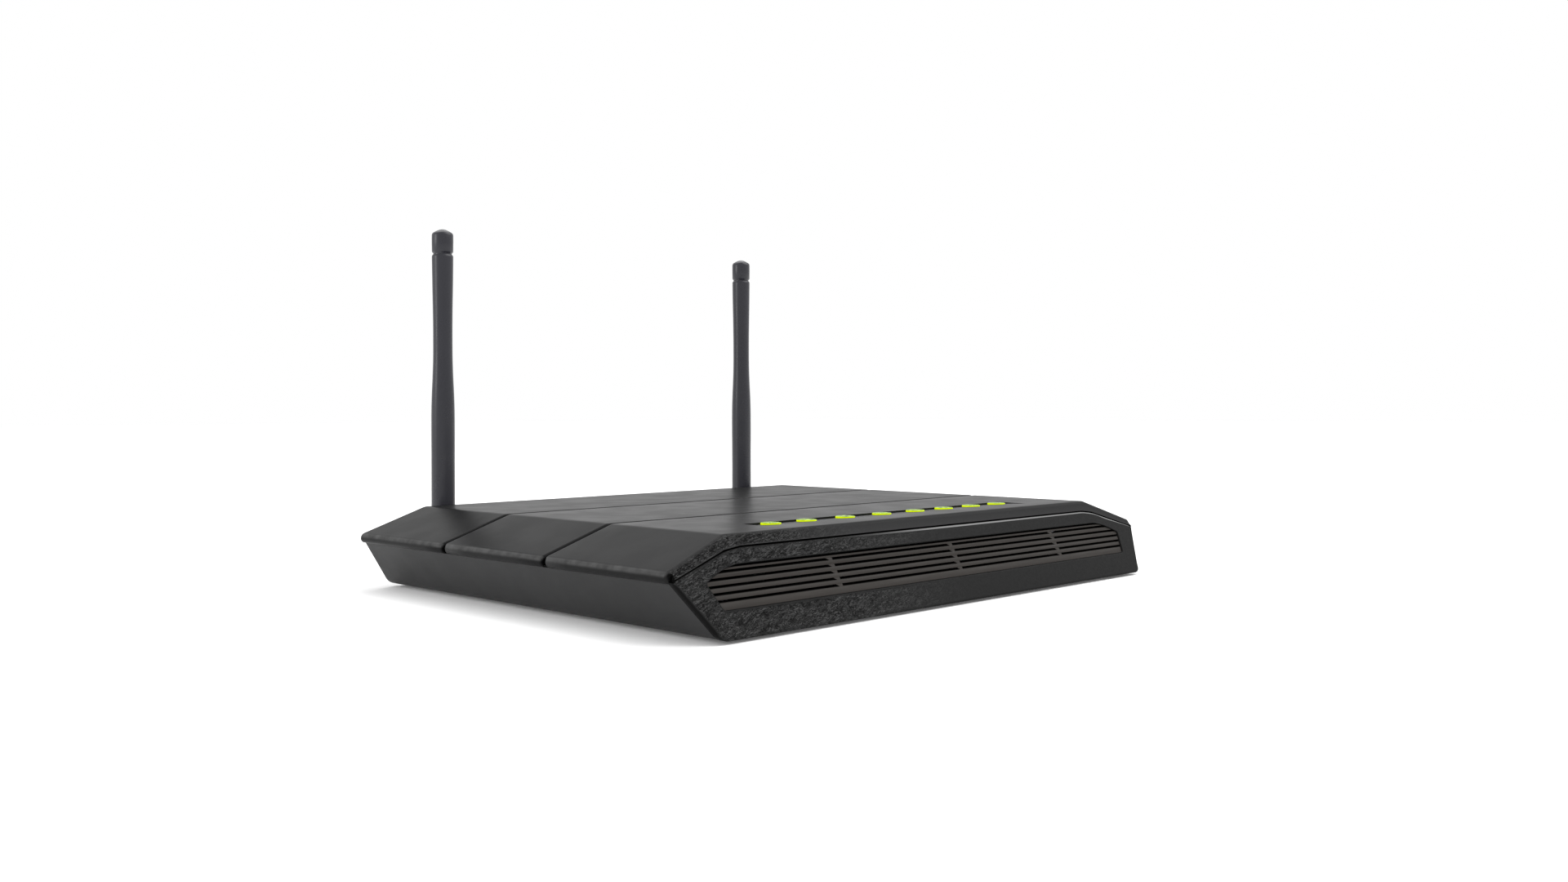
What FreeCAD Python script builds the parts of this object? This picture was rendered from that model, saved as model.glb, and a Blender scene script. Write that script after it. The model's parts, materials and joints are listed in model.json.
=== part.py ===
import FreeCAD, Part
import math
import os

# Optical network terminal with Wi-Fi: a low six-sided case with a leaning grille front,
# two upright rod antennas behind it and a row of sockets in its rear panel.
# The parts are drawn in a case frame: X to the right seen from the front, Y backwards from
# the waist line of the front face, Z up from the underside of the case. save() moves them
# to the part's own origin, the middle of the outer box at the height of the feet's soles.

Vec = FreeCAD.Vector

# ---- driving sizes of the case, millimetres ---------------------------------------------
BODY_HEIGHT = 28.7          # underside to flat top
WAIST_Z = 19.4              # height of the widest line of the case
TOP_HALF = 98.8             # half width of the flat top
WAIST_HALF = 125.6          # half width at the waist
UNDER_HALF = 114.0          # half width of the underside
UNDER_RADIUS = 5.0          # rounding between the underside and the sloping sides
TOP_RADIUS = 5.0            # rounding between the flat top and its chamfers
NOSE_X = 123.6              # the lip along each side is a round bead about this line
NOSE_Z = 18.3
NOSE_RADIUS = 2.0
PARTING_Z = 16.4            # seam between the top cover and the bottom case
REAR_Y = 176.5              # rear edge of the case
COVER_OVERHANG = 0.7        # how far the cover reaches past the rear edge
FRONT_LEAN = 29.7           # the front face leans back by this many degrees
VISOR_RADIUS = 1.6          # rounding between the cover's top and its front
WALL = 2.0                  # wall of the moulded shells
FIT = 0.1                   # gap between parts that are only assembled
FOOT_HEIGHT = 1.0           # what the rubber feet stand out below the case

BEZEL_THICK = 1.8
BEZEL_TIP_Z = 17.2          # height of the bezel's pointed ends
BEZEL_PROUD = 0.9           # how far the bezel stands out past the tray's sides
SEAM_GAP = 0.35             # dark line between the cover's visor and the bezel
VISOR_TOP_Z = 25.1          # height of that line over the grille
VISOR_HALF = 97.0           # where it turns down along the chamfer
GRILLE_TOP_Z = 20.0
GRILLE_FOOT_Z = 7.9
GRILLE_HALF = [(99.0, GRILLE_TOP_Z), (105.0, 18.7), (112.4, 15.8), (109.2, GRILLE_FOOT_Z)]
GRILLE_SUNK = 0.5           # the louvres lie this far behind the bezel's face
GRILLE_FLANGE = (1.2, 2.4)  # thickness and width of the flange behind the bezel
SLOT_PITCH = 1.98           # louvre slots, measured in height
SLOT_HEIGHT = 0.86
SLOT_COUNT = 5
LOWEST_SLOT_Z = 10.45
RIB_COUNT = 3
RIB_PITCH = 62.3
RIB_ROW_X = 5.0             # the ribs' middle stands a little to the right
RIB_WIDTH = 1.4

GROOVE_Y = (60.5, 119.4)    # the two seams that part the cover into three fields
GROOVE_WIDTH = 1.0
GROOVE_DEPTH = 0.6
NOTCH_RADIUS = 1.1          # where a seam crosses the lip

# The lamps stand closer together at both ends of their row than in its middle.
LAMP_X = (-61.0, -44.0, -24.5, -5.0, 13.9, 30.9, 47.9, 64.4)
LAMP_Y = 23.4
LAMP_RADIUS = 3.5
LAMP_PROUD = 0.15           # the lenses stand this much above the flat top
LAMP_EDGE = 0.25
RECESS_BACK_Y = 27.0
RECESS_FRONT_Y = 10.5
RECESS_DEPTH = 0.7
RECESS_HALF = 70.5
PAD_DEPTH = 1.0             # thickening under the recess
PAD_MARGIN = 6.0
PAD_REAR_Y = 31.0
GUIDE_RAIL = (2.4, 1.4)     # half width and thickness of the light guide's rail
GUIDE_LEG_HALF = 1.4
GUIDE_LEG_FOOT_Z = 8.2
LED_SIZE = (3.2, 1.6, 0.9)

# ---- inside the case --------------------------------------------------------------------
BOARD_Z = 5.0               # lower face of the main board
BOARD_THICK = 1.6
BOARD_HALF = 98.0
BOARD_FRONT_Y = 8.0
BOARD_REAR_Y = 172.0
EAR_HALF = 112.0            # the board widens behind the rear screw posts
EAR_Y = 155.5
DECK_Z = BOARD_Z + BOARD_THICK
BOARD_SCREW_X = 90.0
BOARD_SCREW_Y = (16.0, 90.0, 145.0)
BOARD_HOLE_RADIUS = 1.5
BOARD_POST_RADIUS = 3.5
BOARD_PILOT_RADIUS = 1.3

CHIP_X = -10.0              # the processor, with its pad and heat sink
CHIP_Y = 92.0
CHIP_HALF = 10.5
CHIP_HIGH = 1.4
PAD_HIGH = 0.5
MEMORY_HIGH = 1.1
RAM_SIZE = (13.0, 9.0)
RAM_AT = ((18.0, 80.0), (18.0, 95.0))
FLASH_SIZE = (18.0, 12.0)
FLASH_AT = (-17.0, 56.0)
PHONE_CHIP_SIZE = (9.0, 9.0, 1.2)
PHONE_CHIP_AT = (24.0, 128.0)
CAN_X = (44.0, 78.0)        # the radio shields, mirrored to both sides
CAN_Y = (96.0, 126.0)
CAN_HIGH = 3.6
SHEET = 0.4                 # sheet metal of cans, shields and shells
TRANSFORMER_SIZE = (16.0, 10.0, 5.6)
TRANSFORMER_Y = 140.0
TRANSFORMER_OFFSET = 15.0   # either side of the network sockets' middle
CAN_CAPACITOR = (4.0, 11.5)
SMALL_CAPACITOR = (3.2, 9.0)
CAN_CAPACITOR_AT = ((-87.0, 120.0), (-87.0, 108.0), (38.0, 140.0))
SMALL_CAPACITOR_AT = (-93.0, 134.0)
INDUCTOR_SIZE = (8.0, 4.4)
INDUCTOR_AT = ((-60.0, 142.0), (-48.0, 142.0), (-36.0, 128.0))

# ---- rear panel and its sockets -----------------------------------------------------------
PANEL_THICK = 2.0
PANEL_OUT_Y = REAR_Y - 0.5  # outer face of the rear panel
PANEL_IN_Y = PANEL_OUT_Y - PANEL_THICK
SOCKET_FACE_Y = PANEL_OUT_Y + 0.2

POWER_BUTTON_X = -103.0
DC_JACK_X = -67.5
USB_X = -52.5
LAN_X = -13.5
PHONE_X = 32.0
FIBRE_X = 56.5
RESET_X = 70.0
WPS_BUTTON_X = 97.0
WLAN_BUTTON_X = 107.5
BUTTON_Z = 12.0

LAN_PITCH = 14.2
LAN_PORTS = 4
LAN_HALF = LAN_PITCH * LAN_PORTS / 2 + 1.0
LAN_TOP_Z = DECK_Z + 13.4
LAN_CAVE = (5.9, DECK_Z + 1.6, DECK_Z + 9.8)
LAN_WIRES = 8
PHONE_PITCH = 12.2
PHONE_PORTS = 2
PHONE_HALF = PHONE_PITCH * PHONE_PORTS / 2 + 0.6
PHONE_TOP_Z = DECK_Z + 12.6
PHONE_CAVE = (4.9, DECK_Z + 1.6, DECK_Z + 9.2)
PHONE_WIRES = 4
WIRE_PITCH = 1.02
DC_HALF = 4.7
DC_TOP_Z = DECK_Z + 11.0
DC_BARREL_Z = DECK_Z + 6.2
DC_BARREL_RADIUS = 3.2
DC_BARREL_DEPTH = 9.6
USB_HALF = 6.9
USB_Z0 = DECK_Z
USB_Z1 = DECK_Z + 6.4
USB_DEPTH = 14.0
FIBRE_HALF = 6.5
FIBRE_TOP_Z = DECK_Z + 9.8
FIBRE_Z = DECK_Z + 4.9
FIBRE_DEPTH = 20.0
FIBRE_CAVE = (4.6, 3.8)     # half width and half height of the plug's cave
SLEEVE_RADIUS = 1.6
SLEEVE_BORE = 1.25

# ---- buttons ------------------------------------------------------------------------------
POWER_CAP = 7.6
TOUCH_RADIUS = 2.8
TOUCH_STEM = 1.4
RESET_HOLE = 0.9
PLUNGER_RADIUS = 1.5
PLUNGER_GUIDE = 2.0         # depth of the plunger's guide in its switch
TACT_PROUD = 1.0            # how far the push switches' own buttons stand out
SWITCH_FACE_Y = PANEL_IN_Y - 8.0
POWER_TRAVEL = 2.0
TOUCH_TRAVEL = 0.6
RESET_TRAVEL = 0.4
MOVING_GAP = 0.3            # least gap between parts that move past each other

# ---- antennas, drawn for the right side -----------------------------------------------------
ANTENNA_X = 83.0
HINGE_Y = 189.0
HINGE_Z = 14.0
WHIP_RADIUS = 4.7
WHIP_NECK = 3.85
ANTENNA_TOP_Z = 139.0
SHAFT_TOP_Z = ANTENNA_TOP_Z - 11.3
WHIP_BORE = 2.6
BORE_FOOT_Z = HINGE_Z + 9.0
PIN_RADIUS = 1.0
PIN_HALF = 4.3
PIN_PLAY = 0.05
BUSH_FLANGE = (6.4, 2.6)    # radius and thickness
BUSH_THREAD = 3.1
BUSH_NECK = 2.5
COLLAR_RADIUS = 5.0
COLLAR_Y0 = PANEL_OUT_Y + 2.9
COLLAR_Y1 = HINGE_Y - WHIP_RADIUS - 0.5
TONGUE_HALF = 2.0
TONGUE_RADIUS = 4.2
THREAD_END_Y = PANEL_IN_Y - 5.0
COAX_RADIUS = 0.7

# ---- screws, feet and wall mounts -----------------------------------------------------------
SCREW_X = 104.0
SCREW_FRONT_Y = 24.0
SCREW_REAR_Y = 149.0
POST_FOOT_Z = 9.0           # where the cover's screw posts meet the tray's bosses
POST_RADIUS = 3.2
PILOT_RADIUS = 1.45
BOSS_RADIUS = 4.2
HEAD_ROOM = 3.0             # radius of the recess for a screw's head
SHANK_ROOM = 1.6
SCREW_SEAT_Z = 6.5
FOOT_X = 96.0
FOOT_FRONT_Y = 8.0
FOOT_REAR_Y = 165.0
FOOT_RADIUS = 6.0
FOOT_RECESS = 0.5
FOOT_CHAMFER = 0.4

KEYHOLE_X = 55.0
KEYHOLE_Y = 96.0
KEYHOLE_RADIUS = 4.25
KEYHOLE_SLOT = 4.4
KEYHOLE_RUN = 8.0
VENT_SIZE = (2.2, 26.0)     # slots in the underside: width and length
VENT_PITCH = 7.0
VENT_COUNT = 8
VENT_Y = (38.0, 128.0)
LABEL_HALF = 30.0
LABEL_Y = (72.0, 112.0)
LABEL_THICK = 0.15

LEAN_TAN = math.tan(math.radians(FRONT_LEAN))
LEAN_COS = math.cos(math.radians(FRONT_LEAN))
SIDE_SLOPE = (WAIST_HALF - UNDER_HALF) / WAIST_Z
FAR = 400.0                 # longer than the whole part, for cutting tools
FRONT_REACH = -WAIST_Z * LEAN_TAN
REAR_REACH = HINGE_Y + WHIP_RADIUS
ORIGIN_SHIFT = Vec(0, -(FRONT_REACH + REAR_REACH) / 2, FOOT_HEIGHT)


# ---- small helpers --------------------------------------------------------------------
def box(x0, x1, y0, y1, z0, z1):
    return Part.makeBox(x1 - x0, y1 - y0, z1 - z0, Vec(x0, y0, z0))


def rod_x(radius, x0, x1, y, z):
    return Part.makeCylinder(radius, x1 - x0, Vec(x0, y, z), Vec(1, 0, 0))


def rod_y(radius, y0, y1, x, z):
    return Part.makeCylinder(radius, y1 - y0, Vec(x, y0, z), Vec(0, 1, 0))


def rod_z(radius, z0, z1, x, y):
    return Part.makeCylinder(radius, z1 - z0, Vec(x, y, z0))


def union(shapes):
    first = shapes[0]
    return first.fuse(shapes[1:]).removeSplitter() if len(shapes) > 1 else first


def outline(points):
    """A closed face in the XZ plane."""
    corners = [Vec(x, 0, z) for x, z in points]
    return Part.Face(Part.makePolygon(corners + corners[:1]))


def both_sides(half):
    """A closed outline from the corners of its right half, read from top to bottom."""
    return list(half) + [(-x, z) for x, z in reversed(half)]


def along_y(face, y0, y1):
    return face.translated(Vec(0, y0, 0)).extrude(Vec(0, y1 - y0, 0))


def inset(face, distance):
    return Part.Face(face.OuterWire.makeOffset2D(-distance, 2)) if distance else face


def hexagon(distance=0.0):
    """The case's outline seen from the front, drawn in by a distance."""
    half = [(TOP_HALF, BODY_HEIGHT), (WAIST_HALF, WAIST_Z), (UNDER_HALF, 0)]
    return inset(outline(both_sides(half)), distance)


def front_y(z, depth=0.0):
    """Where the leaning front face lies at a height, or a plane that deep behind it."""
    return (z - WAIST_Z) * LEAN_TAN + depth / LEAN_COS


def behind_front(depth):
    """All space behind the plane that lies a depth behind the front face."""
    low, high = -FAR / 8, FAR / 8
    corners = [
        Vec(-FAR, front_y(low, depth), low),
        Vec(-FAR, front_y(high, depth), high),
        Vec(-FAR, FAR, high),
        Vec(-FAR, FAR, low),
    ]
    return Part.Face(Part.makePolygon(corners + corners[:1])).extrude(Vec(2 * FAR, 0, 0))


def front_slab(face, near, far):
    """An outline carried between two planes parallel to the front face."""
    column = along_y(face, -FAR / 8, FAR / 8)
    return column.common(behind_front(near)).cut(behind_front(far))


def side_half(z):
    """Half width of the case's sloping side at a height."""
    return UNDER_HALF + SIDE_SLOPE * z


def soften(shape, radius, wanted):
    """Rounds the edges whose middle the test accepts."""
    edges = [e for e in shape.Edges if wanted(e.CenterOfMass)]
    return shape.makeFillet(radius, edges)


def saved_pair(name, shape):
    """A part of the left antenna and its mirror image for the right one."""
    save(name + "_left", shape.mirror(Vec(0, 0, 0), Vec(1, 0, 0)))
    save(name + "_right", shape)


def save(name, shape):
    moved = shape.translated(ORIGIN_SHIFT)
    solids = len(moved.Solids)
    print(f"{name}: {solids} solids, {moved.Volume:.1f} mm3, valid {moved.isValid()}")
    moved.exportStep(f"parts/{name}.step")


# ---- shells ---------------------------------------------------------------------------
def row_places(middle, pitch, count):
    """Evenly spaced places about a middle."""
    return [middle + (i - (count - 1) / 2) * pitch for i in range(count)]


def corner_places(x, front_y_place, rear_y_place):
    return [(sx * x, y) for sx in (-1, 1) for y in (front_y_place, rear_y_place)]


def cover_outline():
    """The cover's outline with the round bead along each side."""
    bead = []
    for degrees in range(70, -76, -29):
        turn = math.radians(degrees)
        bead.append((NOSE_X + NOSE_RADIUS * math.cos(turn), NOSE_Z + NOSE_RADIUS * math.sin(turn)))
    heel = (side_half(PARTING_Z) + 0.2, PARTING_Z)
    return outline(both_sides([(TOP_HALF, BODY_HEIGHT)] + bead + [heel]))


def bezel_outline(gap):
    """The bezel's outline, with its upper edge lowered by the seam's gap."""
    tip = (side_half(BEZEL_TIP_Z) + BEZEL_PROUD, BEZEL_TIP_Z)
    foot = (UNDER_HALF + BEZEL_PROUD, 0)
    turn = [(VISOR_HALF - 3, VISOR_TOP_Z - gap), (VISOR_HALF + 4, VISOR_TOP_Z - 0.8 - gap)]
    return outline(both_sides(turn + [tip, foot]))


def grille_outline(grow):
    return inset(outline(both_sides(GRILLE_HALF)), -grow)


def round_underside(body):
    """Rounds the two long corners between the underside and the sides."""
    return soften(body, UNDER_RADIUS, lambda c: c.z < 0.1 and abs(c.x) > UNDER_HALF - 1)


def recess_cutter():
    """The shallow scoop in the flat top that holds the lamps, deepest at its back."""
    top = BODY_HEIGHT
    low = top - RECESS_DEPTH
    profile = [
        Vec(-FAR, RECESS_BACK_Y, low),
        Vec(-FAR, RECESS_BACK_Y, top + 1),
        Vec(-FAR, RECESS_FRONT_Y, top + 1),
        Vec(-FAR, RECESS_FRONT_Y, top),
    ]
    wedge = Part.Face(Part.makePolygon(profile + profile[:1])).extrude(Vec(2 * FAR, 0, 0))
    return wedge.common(box(-RECESS_HALF, RECESS_HALF, 0, FAR, low - 1, top + 2))


def groove_cutter(y):
    """A narrow seam over the top and chamfers that ends in a notch through each lip."""
    half = GROOVE_WIDTH / 2
    ring = along_y(cover_outline(), y - half, y + half)
    core = along_y(inset(cover_outline(), GROOVE_DEPTH), y - half, y + half)
    band = ring.cut(core).common(box(-FAR, FAR, y - half, y + half, NOSE_Z, FAR))
    notches = [rod_z(NOTCH_RADIUS, PARTING_Z - 1, WAIST_Z + 1, s * WAIST_HALF, y) for s in (-1, 1)]
    return [band] + notches


def top_cover():
    rear = REAR_Y + COVER_OVERHANG
    block = along_y(cover_outline(), -FAR / 8, rear)
    block = soften(block, TOP_RADIUS, lambda c: c.z > BODY_HEIGHT - 0.1 and abs(c.x) > TOP_HALF - 1)
    block = block.common(behind_front(0))
    block = soften(block, VISOR_RADIUS, lambda c: c.z > WAIST_Z + 1.2 and c.y < front_y(BODY_HEIGHT) + 0.2)
    cavity = along_y(hexagon(WALL), -FAR / 8, FAR).common(behind_front(BEZEL_THICK))
    front_room = along_y(bezel_outline(0), -FAR / 8, FAR / 8).cut(behind_front(BEZEL_THICK))
    shell = block.cut([cavity, front_room])
    under = BODY_HEIGHT - WALL
    pad_half = RECESS_HALF + PAD_MARGIN
    pad = box(-pad_half, pad_half, RECESS_FRONT_Y, PAD_REAR_Y, under - PAD_DEPTH, under)
    inside = along_y(hexagon(WALL / 2), 0, REAR_Y)
    posts = []
    cutters = [recess_cutter()]
    for x, y in corner_places(SCREW_X, SCREW_FRONT_Y, SCREW_REAR_Y):
        posts.append(rod_z(POST_RADIUS, POST_FOOT_Z, BODY_HEIGHT, x, y).common(inside))
        cutters.append(rod_z(PILOT_RADIUS, POST_FOOT_Z - 1, PARTING_Z + 2, x, y))
    cutters += [rod_z(LAMP_RADIUS, under - 3, BODY_HEIGHT + 1, x, LAMP_Y) for x in LAMP_X]
    for y in GROOVE_Y:
        cutters += groove_cutter(y)
    return union([shell, pad] + posts).cut(cutters)


def keyhole_cutter(x):
    """A wall hanger: a hole for the screw's head and a slot for its shank."""
    z0, z1 = -1, WALL + 1
    half = KEYHOLE_SLOT / 2
    head = rod_z(KEYHOLE_RADIUS, z0, z1, x, KEYHOLE_Y)
    slot = box(x - half, x + half, KEYHOLE_Y, KEYHOLE_Y + KEYHOLE_RUN, z0, z1)
    end = rod_z(half, z0, z1, x, KEYHOLE_Y + KEYHOLE_RUN)
    return union([head, slot, end])


def floor_vents():
    width, length = VENT_SIZE
    vents = []
    for y in VENT_Y:
        for x in row_places(0, VENT_PITCH, VENT_COUNT):
            vents.append(box(x - width / 2, x + width / 2, y, y + length, -1, WALL + 1))
    return vents


def board_screw_places():
    return [(s * BOARD_SCREW_X, y) for s in (-1, 1) for y in BOARD_SCREW_Y]


def bottom_case():
    tray = round_underside(along_y(hexagon(), -FAR / 8, REAR_Y)).common(behind_front(BEZEL_THICK))
    tray = tray.common(box(-FAR, FAR, -FAR, FAR, 0, PARTING_Z))
    solid_parts = [tray.cut(along_y(hexagon(WALL), -FAR, FAR))]
    cutters = [keyhole_cutter(x) for x in (-KEYHOLE_X, KEYHOLE_X)] + floor_vents()
    for x, y in corner_places(SCREW_X, SCREW_FRONT_Y, SCREW_REAR_Y):
        solid_parts.append(rod_z(BOSS_RADIUS, WALL / 2, POST_FOOT_Z, x, y))
        cutters.append(rod_z(HEAD_ROOM, -1, SCREW_SEAT_Z, x, y))
        cutters.append(rod_z(SHANK_ROOM, -1, POST_FOOT_Z + 1, x, y))
    for x, y in board_screw_places():
        solid_parts.append(rod_z(BOARD_POST_RADIUS, WALL / 2, BOARD_Z, x, y))
        cutters.append(rod_z(BOARD_PILOT_RADIUS, WALL, BOARD_Z + 1, x, y))
    for x, y in corner_places(FOOT_X, FOOT_FRONT_Y, FOOT_REAR_Y):
        cutters.append(rod_z(FOOT_RADIUS + FIT, -1, FOOT_RECESS, x, y))
    return union(solid_parts).cut(cutters)


def front_bezel():
    column = round_underside(along_y(bezel_outline(SEAM_GAP), -FAR / 8, FAR / 8))
    frame = column.common(behind_front(0)).cut(behind_front(BEZEL_THICK))
    return frame.cut(along_y(grille_outline(0), -FAR / 8, FAR / 8))


def vent_grille():
    """The louvred insert, with a flange that lies against the back of the bezel."""
    flange_thick, flange_wide = GRILLE_FLANGE
    back = BEZEL_THICK + FIT + flange_thick
    insert = front_slab(grille_outline(-FIT), GRILLE_SUNK, back)
    flange = front_slab(grille_outline(flange_wide), BEZEL_THICK + FIT, back)
    grille = union([insert, flange])
    column = along_y(grille_outline(-FIT), -FAR / 8, FAR / 8)
    half = RIB_WIDTH / 2
    ribs = [box(x - half, x + half, -FAR, FAR, 0, FAR) for x in row_places(RIB_ROW_X, RIB_PITCH, RIB_COUNT)]
    slots = []
    for i in range(SLOT_COUNT):
        z = LOWEST_SLOT_Z + i * SLOT_PITCH
        band = box(-FAR, FAR, -FAR / 8, FAR / 8, z - SLOT_HEIGHT / 2, z + SLOT_HEIGHT / 2)
        slots.append(column.common(band).cut(ribs))
    return grille.cut(slots)


def window(x, half_x, z0, z1):
    return box(x - half_x, x + half_x, PANEL_IN_Y - 1, PANEL_OUT_Y + 1, z0, z1)


def round_window(radius, x, z):
    return rod_y(radius, PANEL_IN_Y - 1, PANEL_OUT_Y + 1, x, z)


def rear_panel():
    plate = along_y(hexagon(WALL + FIT), PANEL_IN_Y, PANEL_OUT_Y)
    windows = [
        window(DC_JACK_X, DC_HALF + FIT, DECK_Z - FIT, DC_TOP_Z + FIT),
        window(USB_X, USB_HALF + FIT, USB_Z0 - FIT, USB_Z1 + FIT),
        window(LAN_X, LAN_HALF + FIT, DECK_Z - FIT, LAN_TOP_Z + FIT),
        window(PHONE_X, PHONE_HALF + FIT, DECK_Z - FIT, PHONE_TOP_Z + FIT),
        window(FIBRE_X, FIBRE_HALF + FIT, DECK_Z - FIT, FIBRE_TOP_Z + FIT),
        window(
            POWER_BUTTON_X,
            POWER_CAP / 2 + MOVING_GAP,
            BUTTON_Z - POWER_CAP / 2 - MOVING_GAP,
            BUTTON_Z + POWER_CAP / 2 + MOVING_GAP,
        ),
        round_window(TOUCH_RADIUS + MOVING_GAP, WPS_BUTTON_X, BUTTON_Z),
        round_window(TOUCH_RADIUS + MOVING_GAP, WLAN_BUTTON_X, BUTTON_Z),
        round_window(RESET_HOLE, RESET_X, BUTTON_Z),
    ]
    windows += [round_window(BUSH_THREAD + FIT, s * ANTENNA_X, HINGE_Z) for s in (-1, 1)]
    return plate.cut(windows)


def rating_label():
    """A plain sticker in the middle of the underside, thinner than the feet."""
    return box(-LABEL_HALF, LABEL_HALF, LABEL_Y[0], LABEL_Y[1], -LABEL_THICK, 0)


def rubber_feet():
    places = corner_places(FOOT_X, FOOT_FRONT_Y, FOOT_REAR_Y)
    feet = [rod_z(FOOT_RADIUS, -FOOT_HEIGHT, FOOT_RECESS, x, y) for x, y in places]
    return Part.makeCompound([foot.makeChamfer(FOOT_CHAMFER, foot.Edges[2:]) for foot in feet])


def screw(x, y, seat_z, head, shank, points_up):
    """A pan head screw whose head seats at a height; head and shank are radius and length."""
    way = 1 if points_up else -1
    head_end, shank_end = seat_z - way * head[1], seat_z + way * shank[1]
    head_low, head_top = sorted((seat_z, head_end))
    shank_low, shank_top = sorted((seat_z, shank_end))
    solid = union([rod_z(head[0], head_low, head_top, x, y), rod_z(shank[0], shank_low, shank_top, x, y)])
    arm, half = 0.62 * head[0], 0.12 * head[0]
    low, top = sorted((head_end, head_end + way * 0.55 * head[1]))
    cross = [
        box(x - arm, x + arm, y - half, y + half, low, top),
        box(x - half, x + half, y - arm, y + arm, low, top),
    ]
    return solid.cut(cross)


def case_screws():
    places = corner_places(SCREW_X, SCREW_FRONT_Y, SCREW_REAR_Y)
    head, shank = (2.6, 1.8), (1.35, 9.5)
    return Part.makeCompound([screw(x, y, SCREW_SEAT_Z, head, shank, True) for x, y in places])


def board_screws():
    head, shank = (2.5, 1.6), (1.2, 4.0)
    return Part.makeCompound([screw(x, y, DECK_Z, head, shank, False) for x, y in board_screw_places()])


# ---- lamps ----------------------------------------------------------------------------
def upright_block(x, y, half_x, half_y, z0, z1):
    return box(x - half_x, x + half_x, y - half_y, y + half_y, z0, z1)


def light_guide_strip():
    """One clear moulding: a rail under the cover, round lenses up and square legs down."""
    half_wide, thick = GUIDE_RAIL
    rail_top = BODY_HEIGHT - WALL - PAD_DEPTH - FIT
    rail_low = rail_top - thick
    lens_top = BODY_HEIGHT + LAMP_PROUD
    pieces = [box(LAMP_X[0], LAMP_X[-1], LAMP_Y - half_wide, LAMP_Y + half_wide, rail_low, rail_top)]
    for x in LAMP_X:
        lens = rod_z(LAMP_RADIUS - FIT, rail_low, lens_top, x, LAMP_Y)
        pieces.append(soften(lens, LAMP_EDGE, lambda c: c.z > lens_top - 0.05))
        leg_top = (rail_low + rail_top) / 2
        pieces.append(upright_block(x, LAMP_Y, GUIDE_LEG_HALF, GUIDE_LEG_HALF, GUIDE_LEG_FOOT_Z, leg_top))
    return union(pieces)


def indicator_leds():
    long, wide, high = LED_SIZE
    blocks = [upright_block(x, LAMP_Y, long / 2, wide / 2, DECK_Z, DECK_Z + high) for x in LAMP_X]
    return Part.makeCompound(blocks)


# ---- main board and what stands on it --------------------------------------------------
def main_board():
    board = box(-BOARD_HALF, BOARD_HALF, BOARD_FRONT_Y, BOARD_REAR_Y, BOARD_Z, DECK_Z)
    ears = box(-EAR_HALF, EAR_HALF, EAR_Y, BOARD_REAR_Y, BOARD_Z, DECK_Z)
    holes = [rod_z(BOARD_HOLE_RADIUS, BOARD_Z - 1, DECK_Z + 1, x, y) for x, y in board_screw_places()]
    return union([board, ears]).cut(holes)


def over_chip(half, z0, high):
    """A square block centred on the processor."""
    return upright_block(CHIP_X, CHIP_Y, half, half, z0, z0 + high)


def processor_chip():
    return over_chip(CHIP_HALF, DECK_Z, CHIP_HIGH)


def thermal_pad():
    return over_chip(CHIP_HALF - 1, DECK_Z + CHIP_HIGH, PAD_HIGH)


def heat_sink():
    half, base_high, fin_high, fin_count, fin_thick = 17.0, 2.0, 11.0, 9, 1.1
    z0 = DECK_Z + CHIP_HIGH + PAD_HIGH
    pieces = [over_chip(half, z0, base_high)]
    pitch = (2 * half - fin_thick) / (fin_count - 1)
    for x in row_places(CHIP_X, pitch, fin_count):
        pieces.append(upright_block(x, CHIP_Y, fin_thick / 2, half, z0 + base_high / 2, z0 + fin_high))
    return union(pieces)


def on_board(at, size):
    """A block on the board's upper face: its corner, then its length, width and height."""
    return box(at[0], at[0] + size[0], at[1], at[1] + size[1], DECK_Z, DECK_Z + size[2])


def memory_chips():
    """Two working memories beside the processor and one flash memory in front of it."""
    ram = [on_board(at, (*RAM_SIZE, MEMORY_HIGH)) for at in RAM_AT]
    return Part.makeCompound(ram + [on_board(FLASH_AT, (*FLASH_SIZE, MEMORY_HIGH))])


def wifi_shield_cans():
    """Two pressed covers over the radio circuits, open below."""
    y0, y1 = CAN_Y
    top = DECK_Z + CAN_HIGH
    cans = []
    for s in (-1, 1):
        x0, x1 = sorted((s * CAN_X[0], s * CAN_X[1]))
        outer = box(x0, x1, y0, y1, DECK_Z, top)
        cans.append(outer.cut(box(x0 + SHEET, x1 - SHEET, y0 + SHEET, y1 - SHEET, DECK_Z, top - SHEET)))
    return Part.makeCompound(cans)


def lan_transformers():
    length = TRANSFORMER_SIZE[0]
    middles = [LAN_X - TRANSFORMER_OFFSET, LAN_X + TRANSFORMER_OFFSET]
    return Part.makeCompound([on_board((x - length / 2, TRANSFORMER_Y), TRANSFORMER_SIZE) for x in middles])


def capacitors():
    """Four upright cans beside the power inlet and the phone circuit."""
    cans = [(at, CAN_CAPACITOR) for at in CAN_CAPACITOR_AT] + [(SMALL_CAPACITOR_AT, SMALL_CAPACITOR)]
    return Part.makeCompound([rod_z(size[0], DECK_Z, DECK_Z + size[1], *at) for at, size in cans])


def power_inductors():
    side, high = INDUCTOR_SIZE
    coils = []
    for x, y in INDUCTOR_AT:
        block = on_board((x - side / 2, y - side / 2), (side, side, high))
        coils.append(soften(block, 1.2, lambda c: abs(c.z - DECK_Z - high / 2) < 0.1))
    return Part.makeCompound(coils)


def phone_line_chip():
    return on_board(PHONE_CHIP_AT, PHONE_CHIP_SIZE)


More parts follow.
